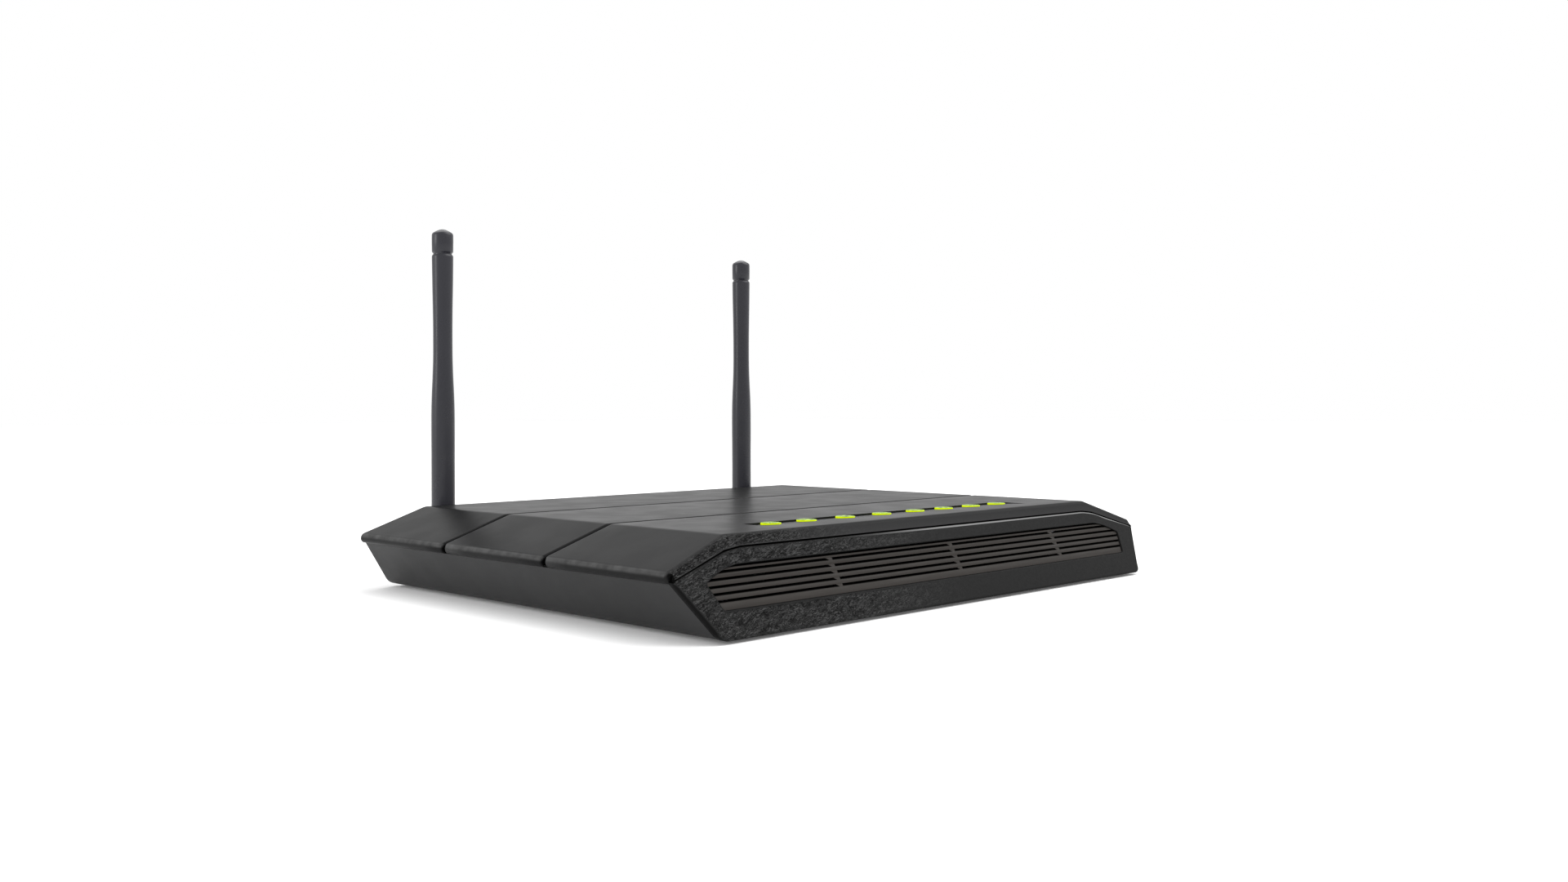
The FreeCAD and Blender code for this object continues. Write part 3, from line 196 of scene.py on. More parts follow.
class Shader:
    """A Principled material with short calls for the procedural detail that feeds it."""

    def __init__(self, name, colour, roughness, **settings):
        self.material = bpy.data.materials.new(name)
        self.material.use_nodes = True
        self.nodes = self.material.node_tree.nodes
        self.links = self.material.node_tree.links
        self.shader = self.nodes["Principled BSDF"]
        self.colour = colour
        self.shader.inputs["Base Color"].default_value = (*colour, 1)
        self.shader.inputs["Roughness"].default_value = roughness
        for key, value in settings.items():
            self.shader.inputs[key.replace("_", " ")].default_value = value
        self.place = self.nodes.new("ShaderNodeTexCoord").outputs["Object"]
        self.last_bump = None

    def stretched(self, scale):
        """Coordinates scaled per axis: a scale below 1 draws a pattern out along that axis."""
        mapping = self.nodes.new("ShaderNodeMapping")
        mapping.inputs["Scale"].default_value = scale
        self.links.new(self.place, mapping.inputs["Vector"])
        return mapping.outputs["Vector"]

    def slanted(self, stretch, slope, waver_mm):
        """Wavering coordinates, drawn out by a factor along a slope across the front."""
        waver = self.nodes.new("ShaderNodeTexNoise")
        waver.inputs["Scale"].default_value = 1 / (WAVER_SIZE * MM)
        self.links.new(self.place, waver.inputs["Vector"])
        shift = self.nodes.new("ShaderNodeVectorMath")
        shift.operation = "MULTIPLY_ADD"
        shift.inputs[1].default_value = (waver_mm * MM,) * 3
        self.links.new(waver.outputs["Color"], shift.inputs[0])
        self.links.new(self.place, shift.inputs[2])
        mapping = self.nodes.new("ShaderNodeMapping")
        mapping.vector_type = "TEXTURE"
        mapping.inputs["Rotation"].default_value = (0, -slope, 0)
        mapping.inputs["Scale"].default_value = (stretch, 1, 1)
        self.links.new(shift.outputs["Vector"], mapping.inputs["Vector"])
        return mapping.outputs["Vector"]

    def noise(self, size_mm, detail=2.0, vector=None, distortion=0.0):
        """Noise whose blobs are about size_mm across, from 0 to 1."""
        node = self.nodes.new("ShaderNodeTexNoise")
        node.inputs["Scale"].default_value = 1 / (size_mm * MM)
        node.inputs["Detail"].default_value = detail
        node.inputs["Distortion"].default_value = distortion
        self.links.new(vector or self.place, node.inputs["Vector"])
        return node.outputs["Fac"]

    def cells(self, size_mm):
        """Distance to the nearest of scattered points about size_mm apart."""
        node = self.nodes.new("ShaderNodeTexVoronoi")
        node.feature = "F1"
        node.inputs["Scale"].default_value = 1 / (size_mm * MM)
        self.links.new(self.place, node.inputs["Vector"])
        return node.outputs["Distance"]

    def math(self, kind, a, b=0.0):
        """One Math node; a and b are numbers or other nodes' outputs."""
        node = self.nodes.new("ShaderNodeMath")
        node.operation = kind
        for socket, value in zip(node.inputs, (a, b)):
            if isinstance(value, (int, float)):
                socket.default_value = value
            else:
                self.links.new(value, socket)
        return node.outputs[0]

    def ranged(self, value, low, high, to_low=0.0, to_high=1.0):
        """Carries low..high smoothly over to to_low..to_high and holds it beyond."""
        node = self.nodes.new("ShaderNodeMapRange")
        node.interpolation_type = "SMOOTHSTEP"
        for key, number in zip(("From Min", "From Max", "To Min", "To Max"), (low, high, to_low, to_high)):
            node.inputs[key].default_value = number
        self.links.new(value, node.inputs["Value"])
        return node.outputs["Result"]

    def blend(self, factor, first, second):
        """Colour from first, at factor 0, to second, at factor 1."""
        node = self.nodes.new("ShaderNodeMix")
        node.data_type = "RGBA"
        self.links.new(factor, node.inputs["Factor"])
        for key, value in (("A", first), ("B", second)):
            socket = [s for s in node.inputs if s.name == key and s.type == "RGBA"][0]
            if isinstance(value, tuple):
                socket.default_value = (*value, 1)
            else:
                self.links.new(value, socket)
        return [s for s in node.outputs if s.type == "RGBA"][0]

    def tint(self, factor, share):
        """Varies the base colour by a share: darker at factor 0, lighter at factor 1."""
        lighter = tuple(min(c * (1 + share), 1) for c in self.colour)
        darker = tuple(c * (1 - share) for c in self.colour)
        self.links.new(self.blend(factor, darker, lighter), self.shader.inputs["Base Color"])

    def gloss(self, factor, low, high):
        """Roughness from low to high over the middle of the factor's range."""
        self.links.new(self.ranged(factor, 0.3, 0.7, low, high), self.shader.inputs["Roughness"])

    def bump(self, height, depth_mm, strength=1.0):
        """Adds a bump on top of the earlier ones; strength is a number or a node's output."""
        node = self.nodes.new("ShaderNodeBump")
        node.inputs["Distance"].default_value = depth_mm * MM
        if isinstance(strength, (int, float)):
            node.inputs["Strength"].default_value = strength
        else:
            self.links.new(strength, node.inputs["Strength"])
        self.links.new(height, node.inputs["Height"])
        if self.last_bump:
            self.links.new(self.last_bump, node.inputs["Normal"])
        self.last_bump = node.outputs["Normal"]
        self.links.new(self.last_bump, self.shader.inputs["Normal"])

    def attribute(self, name):
        """A share stored on the mesh's points."""
        node = self.nodes.new("ShaderNodeAttribute")
        node.attribute_name = name
        return node.outputs["Fac"]


def moulded(name, colour, roughness=0.45, grain_mm=0.35, depth_mm=0.012, **settings):
    """Moulded plastic: spark-eroded fine grain, faint flow marks and handling marks."""
    m = Shader(name, colour, roughness, **settings)
    m.tint(m.noise(38.0, 3.0), 0.10)
    m.gloss(m.noise(9.0, 5.0), roughness - 0.05, roughness + 0.06)
    m.bump(m.noise(grain_mm, 3.0), depth_mm)
    return m.material


def soft(name, colour, roughness, mark_mm=6.0, **settings):
    """Rubber, paper or jacket: matt, with dusty patches and a fine uneven skin."""
    m = Shader(name, colour, roughness, **settings)
    m.tint(m.noise(mark_mm, 5.0), 0.18)
    m.gloss(m.noise(mark_mm / 3, 4.0), roughness - 0.08, roughness + 0.08)
    m.bump(m.noise(0.25, 4.0), 0.02)
    return m.material


def metal(name, colour, roughness, lines=(1, 1, 1), **settings):
    """Plated or rolled metal: drawn lines along its stretched direction and dull spots."""
    m = Shader(name, colour, roughness, Metallic=1.0, **settings)
    drawn = m.stretched(lines)
    m.tint(m.noise(5.0, 4.0), 0.08)
    m.gloss(m.noise(0.8, 4.0, drawn), roughness - 0.06, roughness + 0.12)
    m.bump(m.noise(0.3, 3.0, drawn), 0.004)
    return m.material


# Painted shade and highlight: creases and seams near black, grain ridges lighter.
PAINTED_SHADE_BLACK = (0.0012, 0.0012, 0.0012)
RIDGE_HIGHLIGHT_LOW = (0.015, 0.015, 0.015)
RIDGE_HIGHLIGHT_HIGH = (0.044, 0.044, 0.044)
WRINKLE_STRETCH = 5.5   # wrinkles are this much longer than wide
WRINKLE_SLOPE = 0.33    # radians that they slope across the front
WRINKLE_WAVER = 2.6     # millimetres that they wander
WRINKLE_SIZE = 0.4


def leather_skin(m, smooth):
    """Front colour, from smooth plastic to leather by the piece's own "grain" share.

    The leather's creases are painted black as shade. The ridges between them are painted lighter as a
    highlight, and their tone varies at random. Adds the creases' bump.
    """
    along = m.slanted(WRINKLE_STRETCH, WRINKLE_SLOPE, WRINKLE_WAVER)
    wrinkle = m.math("ABSOLUTE", m.math("SUBTRACT", m.noise(WRINKLE_SIZE, 1.2, along), 0.5))
    # Creases are painted black as shade; the ridges between them carry the painted highlight.
    fine = m.ranged(wrinkle, 0.01, 0.11)
    ridge = m.math("SUBTRACT", 1.0, m.attribute("crease"))
    open_skin = m.math("MULTIPLY", fine, m.ranged(ridge, 0.25, 0.9))
    painted_highlight = m.blend(m.ranged(m.noise(0.9, 3.0, along), 0.38, 0.62), RIDGE_HIGHLIGHT_LOW, RIDGE_HIGHLIGHT_HIGH)
    grained = m.blend(open_skin, PAINTED_SHADE_BLACK, painted_highlight)
    m.bump(fine, 0.06, m.attribute("grain"))
    return m.blend(m.attribute("grain"), smooth, grained)


COVER_SHINE = 0.035


def cover_material():
    """Satin moulded plastic: leather on the visor, a painted highlight along the lip crest and before each
    seam, and painted black shade in the seams, at the lip's front end and round the visor's lower edge.
    """
    m = Shader("cover_satin", (0.0105, 0.0105, 0.0107), 0.32, Specular_IOR_Level=COVER_SHINE)
    satin = m.blend(m.noise(45.0, 3.0), (0.0098, 0.0098, 0.01), (0.0112, 0.0112, 0.0114))
    skin = m.blend(m.attribute("face"), satin, leather_skin(m, (0.023, 0.023, 0.0234)))
    # Painted highlight: lighter colour along the lip crest and before each seam.
    painted_highlight = m.math("MULTIPLY", m.attribute("lip"), m.ranged(m.noise(5.0, 3.0), 0.3, 0.7, 0.5))
    skin = m.blend(painted_highlight, skin, (0.07, 0.07, 0.07))
    # Painted shade: near black and without shine where the mesh marks shade.
    m.links.new(m.blend(m.attribute("painted_shade"), skin, PAINTED_SHADE_BLACK), m.shader.inputs["Base Color"])
    shine = m.math("MULTIPLY", m.math("SUBTRACT", 1.0, m.attribute("painted_shade")), COVER_SHINE)
    m.links.new(shine, m.shader.inputs["Specular IOR Level"])
    m.gloss(m.noise(14.0, 5.0), 0.30, 0.35)
    m.bump(m.noise(0.22, 3.0), 0.006)
    m.bump(m.noise(2.2, 3.0), 0.05, m.attribute("lip"))
    return m.material


def case_material():
    """Satin moulded plastic of the tray and the rear panel."""
    m = Shader("case_satin", (0.031, 0.031, 0.0315), 0.5, Specular_IOR_Level=0.1)
    m.tint(m.noise(50.0, 3.0), 0.06)
    m.gloss(m.noise(11.0, 5.0), 0.47, 0.54)
    m.bump(m.noise(0.25, 3.0), 0.009)
    return m.material


def bezel_material():
    """Black leather-grained plastic with a smooth border, darker than the face, and a painted highlight along
    the upper rim.
    """
    m = Shader("bezel_leather", (0.008, 0.008, 0.0085), 0.44, Specular_IOR_Level=0.065)
    # The border is darker than the face; the upper rim's light colour is a painted highlight.
    border_and_rim_highlight = m.blend(m.attribute("rim"), (0.003, 0.003, 0.003), (0.2, 0.2, 0.2))
    skin = leather_skin(m, (0.0065, 0.0065, 0.0065))
    m.links.new(m.blend(m.attribute("face"), border_and_rim_highlight, skin), m.shader.inputs["Base Color"])
    m.gloss(m.noise(0.9, 4.0), 0.40, 0.52)
    m.bump(m.noise(0.2, 3.0), 0.006)
    return m.material


def grille_material():
    """Brownish grey plastic, drawn along the slats, painted near black as shade where they turn back into the
    slots.
    """
    m = Shader("grille_drawn", (0.024, 0.0205, 0.0182), 0.5, Specular_IOR_Level=0.1)
    drawn = m.stretched((0.06, 1, 1))
    streaks = m.blend(m.noise(1.6, 4.0, drawn), (0.02, 0.0175, 0.0156), (0.032, 0.0278, 0.0247))
    # Painted shade: near black where the slats turn back into the slots.
    m.links.new(m.blend(m.attribute("inside"), streaks, (0.001, 0.001, 0.001)), m.shader.inputs["Base Color"])
    m.gloss(m.noise(0.7, 4.0, drawn), 0.44, 0.56)
    m.bump(m.noise(0.5, 4.0, drawn), 0.01)
    return m.material


def lamp_material():
    """Tinted clear plastic lit from below, glowing: a bright edge, a top painted deeper green as shade, and
    near black painted shade below the lens, which does not glow.
    """
    m = Shader("lamp_glow", (0.55, 0.95, 0.02), 0.35, IOR=1.49, Specular_IOR_Level=0.03)
    split = m.nodes.new("ShaderNodeSeparateXYZ")
    normal = m.nodes.new("ShaderNodeNewGeometry").outputs["Normal"]
    m.links.new(normal, split.inputs[0])
    # Faces that point up are painted darker green as shade; the edge stays bright.
    shaded_top = m.ranged(split.outputs["Z"], 0.35, 0.95)
    mottle = m.ranged(m.noise(1.5, 4.0), 0.42, 0.6)
    top = m.blend(mottle, (0.05, 0.11, 0.004), (0.3, 0.47, 0.008))
    glow = m.blend(shaded_top, (0.66, 0.82, 0.0), top)
    split_place = m.nodes.new("ShaderNodeSeparateXYZ")
    m.links.new(m.place, split_place.inputs[0])
    # Below the lens foot the clear plastic is painted near black as shade and has no glow.
    lens_foot = place(0, 0, BODY_HEIGHT - RECESS_DEPTH - 0.2).z
    lit = m.ranged(split_place.outputs["Z"], lens_foot, lens_foot + 0.3 * MM)
    colour = m.blend(lit, (0.004, 0.006, 0.004), glow)
    m.links.new(colour, m.shader.inputs["Base Color"])
    m.links.new(colour, m.shader.inputs["Emission Color"])
    m.links.new(m.math("MULTIPLY", lit, 0.33), m.shader.inputs["Emission Strength"])
    m.gloss(m.noise(0.8, 3.0), 0.2, 0.32)
    return m.material


def board_material():
    """Green solder mask over copper tracks, with the glass weave showing through."""
    m = Shader("board_mask", (0.01, 0.11, 0.045), 0.32)
    tracks = m.ranged(m.noise(3.0, 1.0, m.stretched((1, 0.25, 1)), 1.5), 0.5, 0.52)
    m.tint(tracks, 0.35)
    m.gloss(m.noise(4.0, 3.0), 0.28, 0.38)
    m.bump(tracks, 0.03)
    m.bump(m.cells(0.45), 0.01)
    return m.material


def speckled(name, colour, roughness, speck, share):
    """Moulded epoxy or ferrite: a matt ground with small paler specks."""
    m = Shader(name, colour, roughness)
    specks = m.ranged(m.noise(0.35, 2.0), 1 - share, 1.02 - share)
    m.links.new(m.blend(specks, colour, speck), m.shader.inputs["Base Color"])
    m.gloss(m.noise(1.2, 4.0), roughness - 0.07, roughness + 0.07)
    m.bump(m.noise(0.2, 4.0), 0.012)
    return m.material


SLOT_MATERIALS = {
    "adapter_green": moulded("adapter_moulded", (0.02, 0.27, 0.09), 0.34),
    "antenna_plastic": moulded(
        "antenna_satin", (0.021, 0.021, 0.027), 0.3, 0.3, 0.01, Specular_IOR_Level=0.32
    ),
    "bezel_plastic": bezel_material(),
    "board_laminate": board_material(),
    "button_plastic": moulded("button_moulded", (0.035, 0.035, 0.037), 0.38),
    "cable_jacket": soft("cable_jacket_soft", (0.03, 0.03, 0.033), 0.45),
    "can_tin": metal("tinned_steel", (0.66, 0.65, 0.62), 0.3, (0.1, 1, 1)),
    "cap_elastomer": soft("dust_cap_elastomer", (0.12, 0.12, 0.125), 0.62),
    "capacitor_can": metal("capacitor_sleeve", (0.16, 0.18, 0.27), 0.35, (1, 1, 0.1)),
    "case_plastic": case_material(),
    "chip_epoxy": speckled("chip_epoxy_matt", (0.012, 0.012, 0.013), 0.55, (0.05, 0.05, 0.05), 0.36),
    "contact_gold": metal("gold_plating", (0.83, 0.6, 0.2), 0.22, (1, 0.1, 1)),
    "cover_plastic": cover_material(),
    "ferrite": speckled("ferrite_grey", (0.07, 0.07, 0.075), 0.7, (0.14, 0.14, 0.14), 0.42),
    "foot_rubber": soft("foot_rubber_matt", (0.022, 0.022, 0.022), 0.8),
    "grille_plastic": grille_material(),
    "inner_brass": metal("turned_brass", (0.72, 0.55, 0.26), 0.28, (1, 1, 0.2)),
    "label_paper": soft("label_paper_coated", (0.7, 0.7, 0.68), 0.55, 12.0),
    "lan_plastic": moulded("lan_moulded", (0.62, 0.40, 0.02), 0.36),
    "led_body": moulded("led_lens", (0.05, 0.05, 0.044), 0.5),
    "light_guide": lamp_material(),
    "pad_silicone": soft("thermal_silicone", (0.3, 0.4, 0.55), 0.7),
    "phone_plastic": moulded("phone_moulded", (0.2, 0.2, 0.21), 0.4),
    "screw_steel": metal("zinc_plating", (0.56, 0.56, 0.58), 0.3, (1, 1, 0.3)),
    "sink_aluminium": metal("extruded_aluminium", (0.68, 0.68, 0.7), 0.38, (1, 0.05, 1)),
    "sleeve_zirconia": moulded("zirconia_white", (0.86, 0.86, 0.84), 0.18, 0.5, 0.002),
    "socket_plastic": moulded("socket_moulded", (0.022, 0.022, 0.023), 0.4),
}


# ---- grain that is part of the surface ----------------------------------------------
GRAIN_SEED = 7                  # fixes the offsets that noise_vector would take from the clock
GRAIN_DEPTH = 0.32
FADED = 0.97                    # how much of the grain is gone on the right
COVER_GRAIN_X = (-90.0, -30.0)  # the visor's grain fades between these places
BEZEL_GRAIN_X = (-62.0, 8.0)
ALONG_X, ALONG_S = 0.93, 0.36   # direction of the wrinkles: across, up the front
BEND_SIZE = 5.0                 # the wrinkles bend over this length, by BEND_REACH
BEND_REACH = 1.1
WRINKLE_LONG = 4.5
WRINKLE_WIDE = 0.9
CREASE_SHARE = 0.14             # the wave is a crease this near to zero

noise.seed_set(GRAIN_SEED)


def grain_share(x, full, faint):
    """How strong the leather grain is at x: whole up to full, almost gone from faint on."""
    return 1.0 - FADED * smooth_step(full, faint, x)


def leather(x, s):
    """Height of the grain in millimetres at x across and s up the front, and its crease share."""
    bend = noise.noise_vector(Vector((x / BEND_SIZE, s / BEND_SIZE, 3.7)))
    u = x * ALONG_X + s * ALONG_S + BEND_REACH * bend.x
    v = s * ALONG_X - x * ALONG_S + BEND_REACH * bend.y
    wave = noise.fractal(Vector((u / WRINKLE_LONG, v / WRINKLE_WIDE, 0.5)), 0.9, 2.0, 2)
    crease = 1 - min(abs(wave) / CREASE_SHARE, 1.0)
    return GRAIN_DEPTH * (0.3 * wave - 0.7 * crease * crease - 0.1), crease


# ---- top cover ----------------------------------------------------------------------
CORNER_RADIUS = 6.0             # between the flat top and the chamfer
NOSE_MIDDLE = (123.6, 18.3)     # the round lip along each side
NOSE_RADIUS = 2.0
NOSE_OFFSET = (NOSE_MIDDLE[0] - TOP_HALF, BODY_HEIGHT - NOSE_MIDDLE[1])
CHAMFER_FALL = math.atan2(NOSE_OFFSET[1], NOSE_OFFSET[0]) - math.asin(NOSE_RADIUS / math.hypot(*NOSE_OFFSET))
NOSE_LOWEST = math.radians(-74.0)
NOSE_TURNS = 14
NOSE_ROWS = NOSE_TURNS + 1
NOSE_SEAM_X = 123.4             # the lip ends here, just above the parting line
CORNER_TURNS = 8
COVER_STEP = 0.42               # between rows across the cover
RECESS_SIDE = 0.04              # half width of the steep ends of the lamp recess
VISOR_RADIUS = 2.0              # between the top or chamfer and the visor
INNER_WAIST_X = 121.0           # the inner face goes no further out
INNER_WAIST_Z = 18.4
INNER_NOSE_FALL = 2.2           # the inner face drops this much behind the lip
REAR_RADIUS = 1.2
REAR_ROWS = 5
ARC_ROWS = 9                    # rows over the visor's rounded edge
FACE_ROWS = 7                   # rows down the visor
ARC_PART = 0.55                 # share of the fade from satin to leather on the rounded edge
LEATHER_ROW = 40.0              # where the visor's grain is read, apart from the bezel's
SHOULDER = 1.4                  # a painted highlight line lies this far before each seam
TONGUE_DROP = 1.1               # the tongue behind the bezel reaches this far down; it is painted black as shade
VISOR_EDGE = [(0.0, VISOR_TOP_Z), (94.0, VISOR_TOP_Z), (101.0, 24.3), (125.0, 17.3)]
GROOVE_SHAPE = [(-1.5, 0.0), (-1.2, 0.06), (-0.9, 0.22), (-0.65, 0.55), (-0.32, 0.9), (0.0, 0.95)]


def nose_row(turn):
    """A row on the round lip along the side, at an angle above level."""
    n = (math.cos(turn), math.sin(turn))
    return (NOSE_MIDDLE[0] + NOSE_RADIUS * n[0], NOSE_MIDDLE[1] + NOSE_RADIUS * n[1]), n, NOSE_RADIUS


def cover_half_profile():
    """Points, normals and front edge radii of the right half, from the middle outwards."""
    fall = CHAMFER_FALL
    run = CORNER_RADIUS * math.tan(fall / 2)
    flat_end = TOP_HALF - run
    steps = round(flat_end / COVER_STEP)
    wanted = [flat_end * i / steps for i in range(steps + 1)]
    kept = [x for x in wanted if abs(x - RECESS_HALF) > 0.3]
    kept += [RECESS_HALF - RECESS_SIDE, RECESS_HALF + RECESS_SIDE]
    rows = [((x, BODY_HEIGHT), (0.0, 1.0), VISOR_RADIUS) for x in sorted(kept)]
    middle = (flat_end, BODY_HEIGHT - CORNER_RADIUS)
    for i in range(1, CORNER_TURNS + 1):
        a = fall * i / CORNER_TURNS
        n = (math.sin(a), math.cos(a))
        rows.append(((middle[0] + CORNER_RADIUS * n[0], middle[1] + CORNER_RADIUS * n[1]), n, VISOR_RADIUS))
    start = rows[-1][0]
    n = (math.sin(fall), math.cos(fall))
    end = (NOSE_MIDDLE[0] + NOSE_RADIUS * n[0], NOSE_MIDDLE[1] + NOSE_RADIUS * n[1])
    steps = round(math.dist(start, end) / COVER_STEP)
    for i in range(1, steps + 1):
        t = i / steps
        rows.append((between(start, end, t), n, VISOR_RADIUS))
    highest = math.pi / 2 - fall
    for i in range(1, NOSE_TURNS + 1):
        rows.append(nose_row(highest + (NOSE_LOWEST - highest) * i / NOSE_TURNS))
    rows.append(((NOSE_SEAM_X, PARTING_Z + 0.12), (0.0, -1.0), 0.15))
    return rows


def groove_depth(y, lip):
    """Depth of the seams at a place along the case; lip widens and deepens them."""
    deepest = 0.0
    for groove in GROOVES_Y:
        off = -abs(y - groove) / (1 + 0.35 * lip)
        for (a, da), (b, db) in zip(GROOVE_SHAPE, GROOVE_SHAPE[1:]):
            if a <= off <= b:
                deepest = max(deepest, da + (db - da) * (off - a) / (b - a))
    return deepest * (1 + 0.8 * lip)


def recess_depth(x, y):
    """Depth of the lamp recess, a ramp that is deepest at its back."""
    inside = abs(x) < RECESS_HALF and RECESS_FRONT_Y < y < RECESS_BACK_Y
    return RECESS_DEPTH * (y - RECESS_FRONT_Y) / (RECESS_BACK_Y - RECESS_FRONT_Y) if inside else 0.0


def cover_stations():
    """Places along the case where the cover's surface has a row of points, from the rear."""
    places = [175.6, 170.0, 160.0, 145.0, 132.0, 105.0, 90.0, 75.0, 48.0, 38.0, 31.0]
    for groove in GROOVES_Y:
        offsets = [a * 1.2 for a, _ in GROOVE_SHAPE]
        places += [groove + a for a in offsets] + [groove - a for a in offsets[:-1]]
    places += [RECESS_BACK_Y + 0.03, RECESS_BACK_Y - 0.03, 24.0, 20.0, RECESS_FRONT_Y, 8.4]
    return sorted(places, reverse=True)


def visor_z(x):
    """Height of the visor's lower edge across the front."""
    for (xa, za), (xb, zb) in zip(VISOR_EDGE, VISOR_EDGE[1:]):
        if x <= xb:
            t = (x - xa) / (xb - xa)
            return za + (zb - za) * t
    return VISOR_EDGE[-1][1]


def cover_ring(point, normal, radius, side, nose):
    """One closed slice of the cover, from the rear of its inner face over the top to the visor.

    Returns the points, each with its grain, lip highlight, face, painted shade and crease shares.
    """
    (px, pz), (nx, nz) = point, normal
    out = Vector((nx, 0, nz))
    base = Vector((px, 0, pz))
    forward = Vector((0, -math.cos(FRONT_LEAN), math.sin(FRONT_LEAN)))
    lip = smooth_step(0.0, 0.35, nose)
    # The crest of the lip carries a painted highlight.
    crest = smooth_step(0.0, 0.15, nose) * (1 - smooth_step(0.3, 0.5, nose))
    ring = []

    def add(p, grain=0.0, highlight_share=0.0, face=0.0, painted_shade=0.0, crease=0.0):
        ring.append((p, (grain, highlight_share, face, painted_shade, crease)))

    inner = base - out * WALL
    if inner.x > INNER_WAIST_X:
        inner = Vector((INNER_WAIST_X, 0, INNER_WAIST_Z - INNER_NOSE_FALL * nose))
    rear_radius = REAR_RADIUS - 0.9 * nose
    # The rear edge is painted dark as shade.
    add(inner + Vector((0, COVER_REAR_Y - 0.25, 0)), painted_shade=0.8)
    for i in range(REAR_ROWS):
        a = math.radians(90 - 90 * i / (REAR_ROWS - 1))
        c = base - out * rear_radius + Vector((0, COVER_REAR_Y - rear_radius, 0))
        where = c + out * rear_radius * math.cos(a) + Vector((0, rear_radius * math.sin(a), 0))
        add(where, 0, crest, 0, 0.8 * (i < REAR_ROWS - 1))
    for y in COVER_STATIONS:
        groove = min(groove_depth(y, lip), 1.3)
        depth = groove + recess_depth(px, y)
        # A painted highlight line lies before each seam and on the lip crest.
        painted_highlight = max(crest, 0.5 * max(1 - abs(y - g + SHOULDER) / 0.5 for g in GROOVES_Y))
        # The groove bottom is painted dark as shade.
        add(base + Vector((0, y, 0)) - out * depth, 0, painted_highlight, 0, smooth_step(0.25, 0.75, groove))
    middle = base - out * radius
    middle.y = front_y(middle.z, radius)
    share = grain_share(side * px, *COVER_GRAIN_X)
    reach_in = 1.0 - 0.55 * share
    for i in range(ARC_ROWS + 1):
        t = i / ARC_ROWS
        way = out.slerp(forward, t)
        where = middle + way * radius
        face = smooth_step(0.0, reach_in, ARC_PART * t)
        mask = share * smooth_step(0.15, 0.9, t)
        height, crease = leather(side * px, LEATHER_ROW + t * 3.0 + pz * 0.2)
        # The front end of the lip is painted dark as shade.
        painted_shade = 0.85 * lip * smooth_step(0.25, 0.55, t)
        add(where + way * height * mask, mask, crest * (1 - t), face, painted_shade, crease * mask)
    top = middle + forward * radius
    if nose > 0:
        edge_x = min(NOSE_SEAM_X + 1.5 * nose, VISOR_EDGE[-1][0])
    else:
        edge_x = px - 1.2 * smooth_step(98, 124, px)
    edge_z = visor_z(edge_x)
    edge = Vector((edge_x, front_y(edge_z), edge_z))
    for i in range(1, FACE_ROWS + 1):
        t = i / FACE_ROWS
        where = top.lerp(edge, t * 0.985)
        reach = min((top - edge).length / 1.5, 1.0)
        mask = share * (1 - smooth_step(0.8, 1.0, t)) * reach
        height, crease = leather(side * px, LEATHER_ROW + 3.0 + t * 2.5 + pz * 0.2)
        face = smooth_step(0.0, reach_in, ARC_PART + (1 - ARC_PART) * t)
        # The visor beside the lip is painted dark as shade.
        add(where + forward * height * mask, mask, 0, face, 0.9 * smooth_step(0.0, 0.1, nose), crease * mask)
    # The visor's lower edge, the tongue behind the bezel and the inner face are painted black as shade.
    add(edge + Vector((0, 0.12, -0.02)), face=1, painted_shade=1)
    drop = 0.06 + TONGUE_DROP * (1 - smooth_step(106, 118, px)) * (nose == 0)
    back = BEZEL_THICK / math.cos(FRONT_LEAN) + 0.15
    for out_y, down in ((back, 0), (back, drop), (back + 0.5, drop), (back + 0.5, 0)):
        add(edge + Vector((0, out_y - down * math.tan(FRONT_LEAN), -down)), face=1, painted_shade=1)
    inner_front_y = front_y(inner.z, BEZEL_THICK)
    add(Vector((inner.x, inner_front_y, inner.z)), face=1, painted_shade=1)
    return ring


COVER_STATIONS = cover_stations()


def build_cover():
    """The whole cover as one closed skin, lofted from the left lip to the right one."""
    half = cover_half_profile()
    sides = []
    for side in (1, -1):
        rows = []
        for i, (point, normal, radius) in enumerate(half):
            nose = max(0.0, (i - (len(half) - 1 - NOSE_ROWS)) / NOSE_ROWS)
            rows.append((cover_ring(point, normal, radius, side, nose), side))
        sides.append(rows)
    order = list(reversed(sides[1]))[:-1] + sides[0]
    bm = bmesh.new()
    layers = [bm.verts.layers.float.new(name) for name in ("grain", "lip", "face", "painted_shade", "crease")]
    rings = [[place(p.x * side, p.y, p.z) for p, _ in ring] for ring, side in order]
    rows = loft(bm, rings, capped=True)
    for row, (ring, _) in zip(rows, order):
        for vert, (_, shares) in zip(row, ring):
            for layer, share in zip(layers, shares):
                vert[layer] = share
    return new_object("cover_shell", bm, "case", SLOT_MATERIALS["cover_plastic"], COVER_SHARP)


def cut(obj, cutter, operation="DIFFERENCE"):
    """Cuts a piece with a loose shape, which is thrown away."""
    modify(obj, "BOOLEAN", operation=operation, object=cutter, solver="EXACT")
    bpy.data.meshes.remove(cutter.data)


def turn_about(bm, profile, x, y, segments=64):
    """A closed body of revolution about an upright line, from (radius, height) pairs."""
    rings = []
    for radius, z in profile:
        ring = []
        for i in range(segments):
            a = 2 * math.pi * i / segments
            ring.append(place(x + radius * math.cos(a), y + radius * math.sin(a), z))
        rings.append(ring)
    loft(bm, rings, capped=True)


def finish_piece(obj, slot, *nodes):
    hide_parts(*nodes)


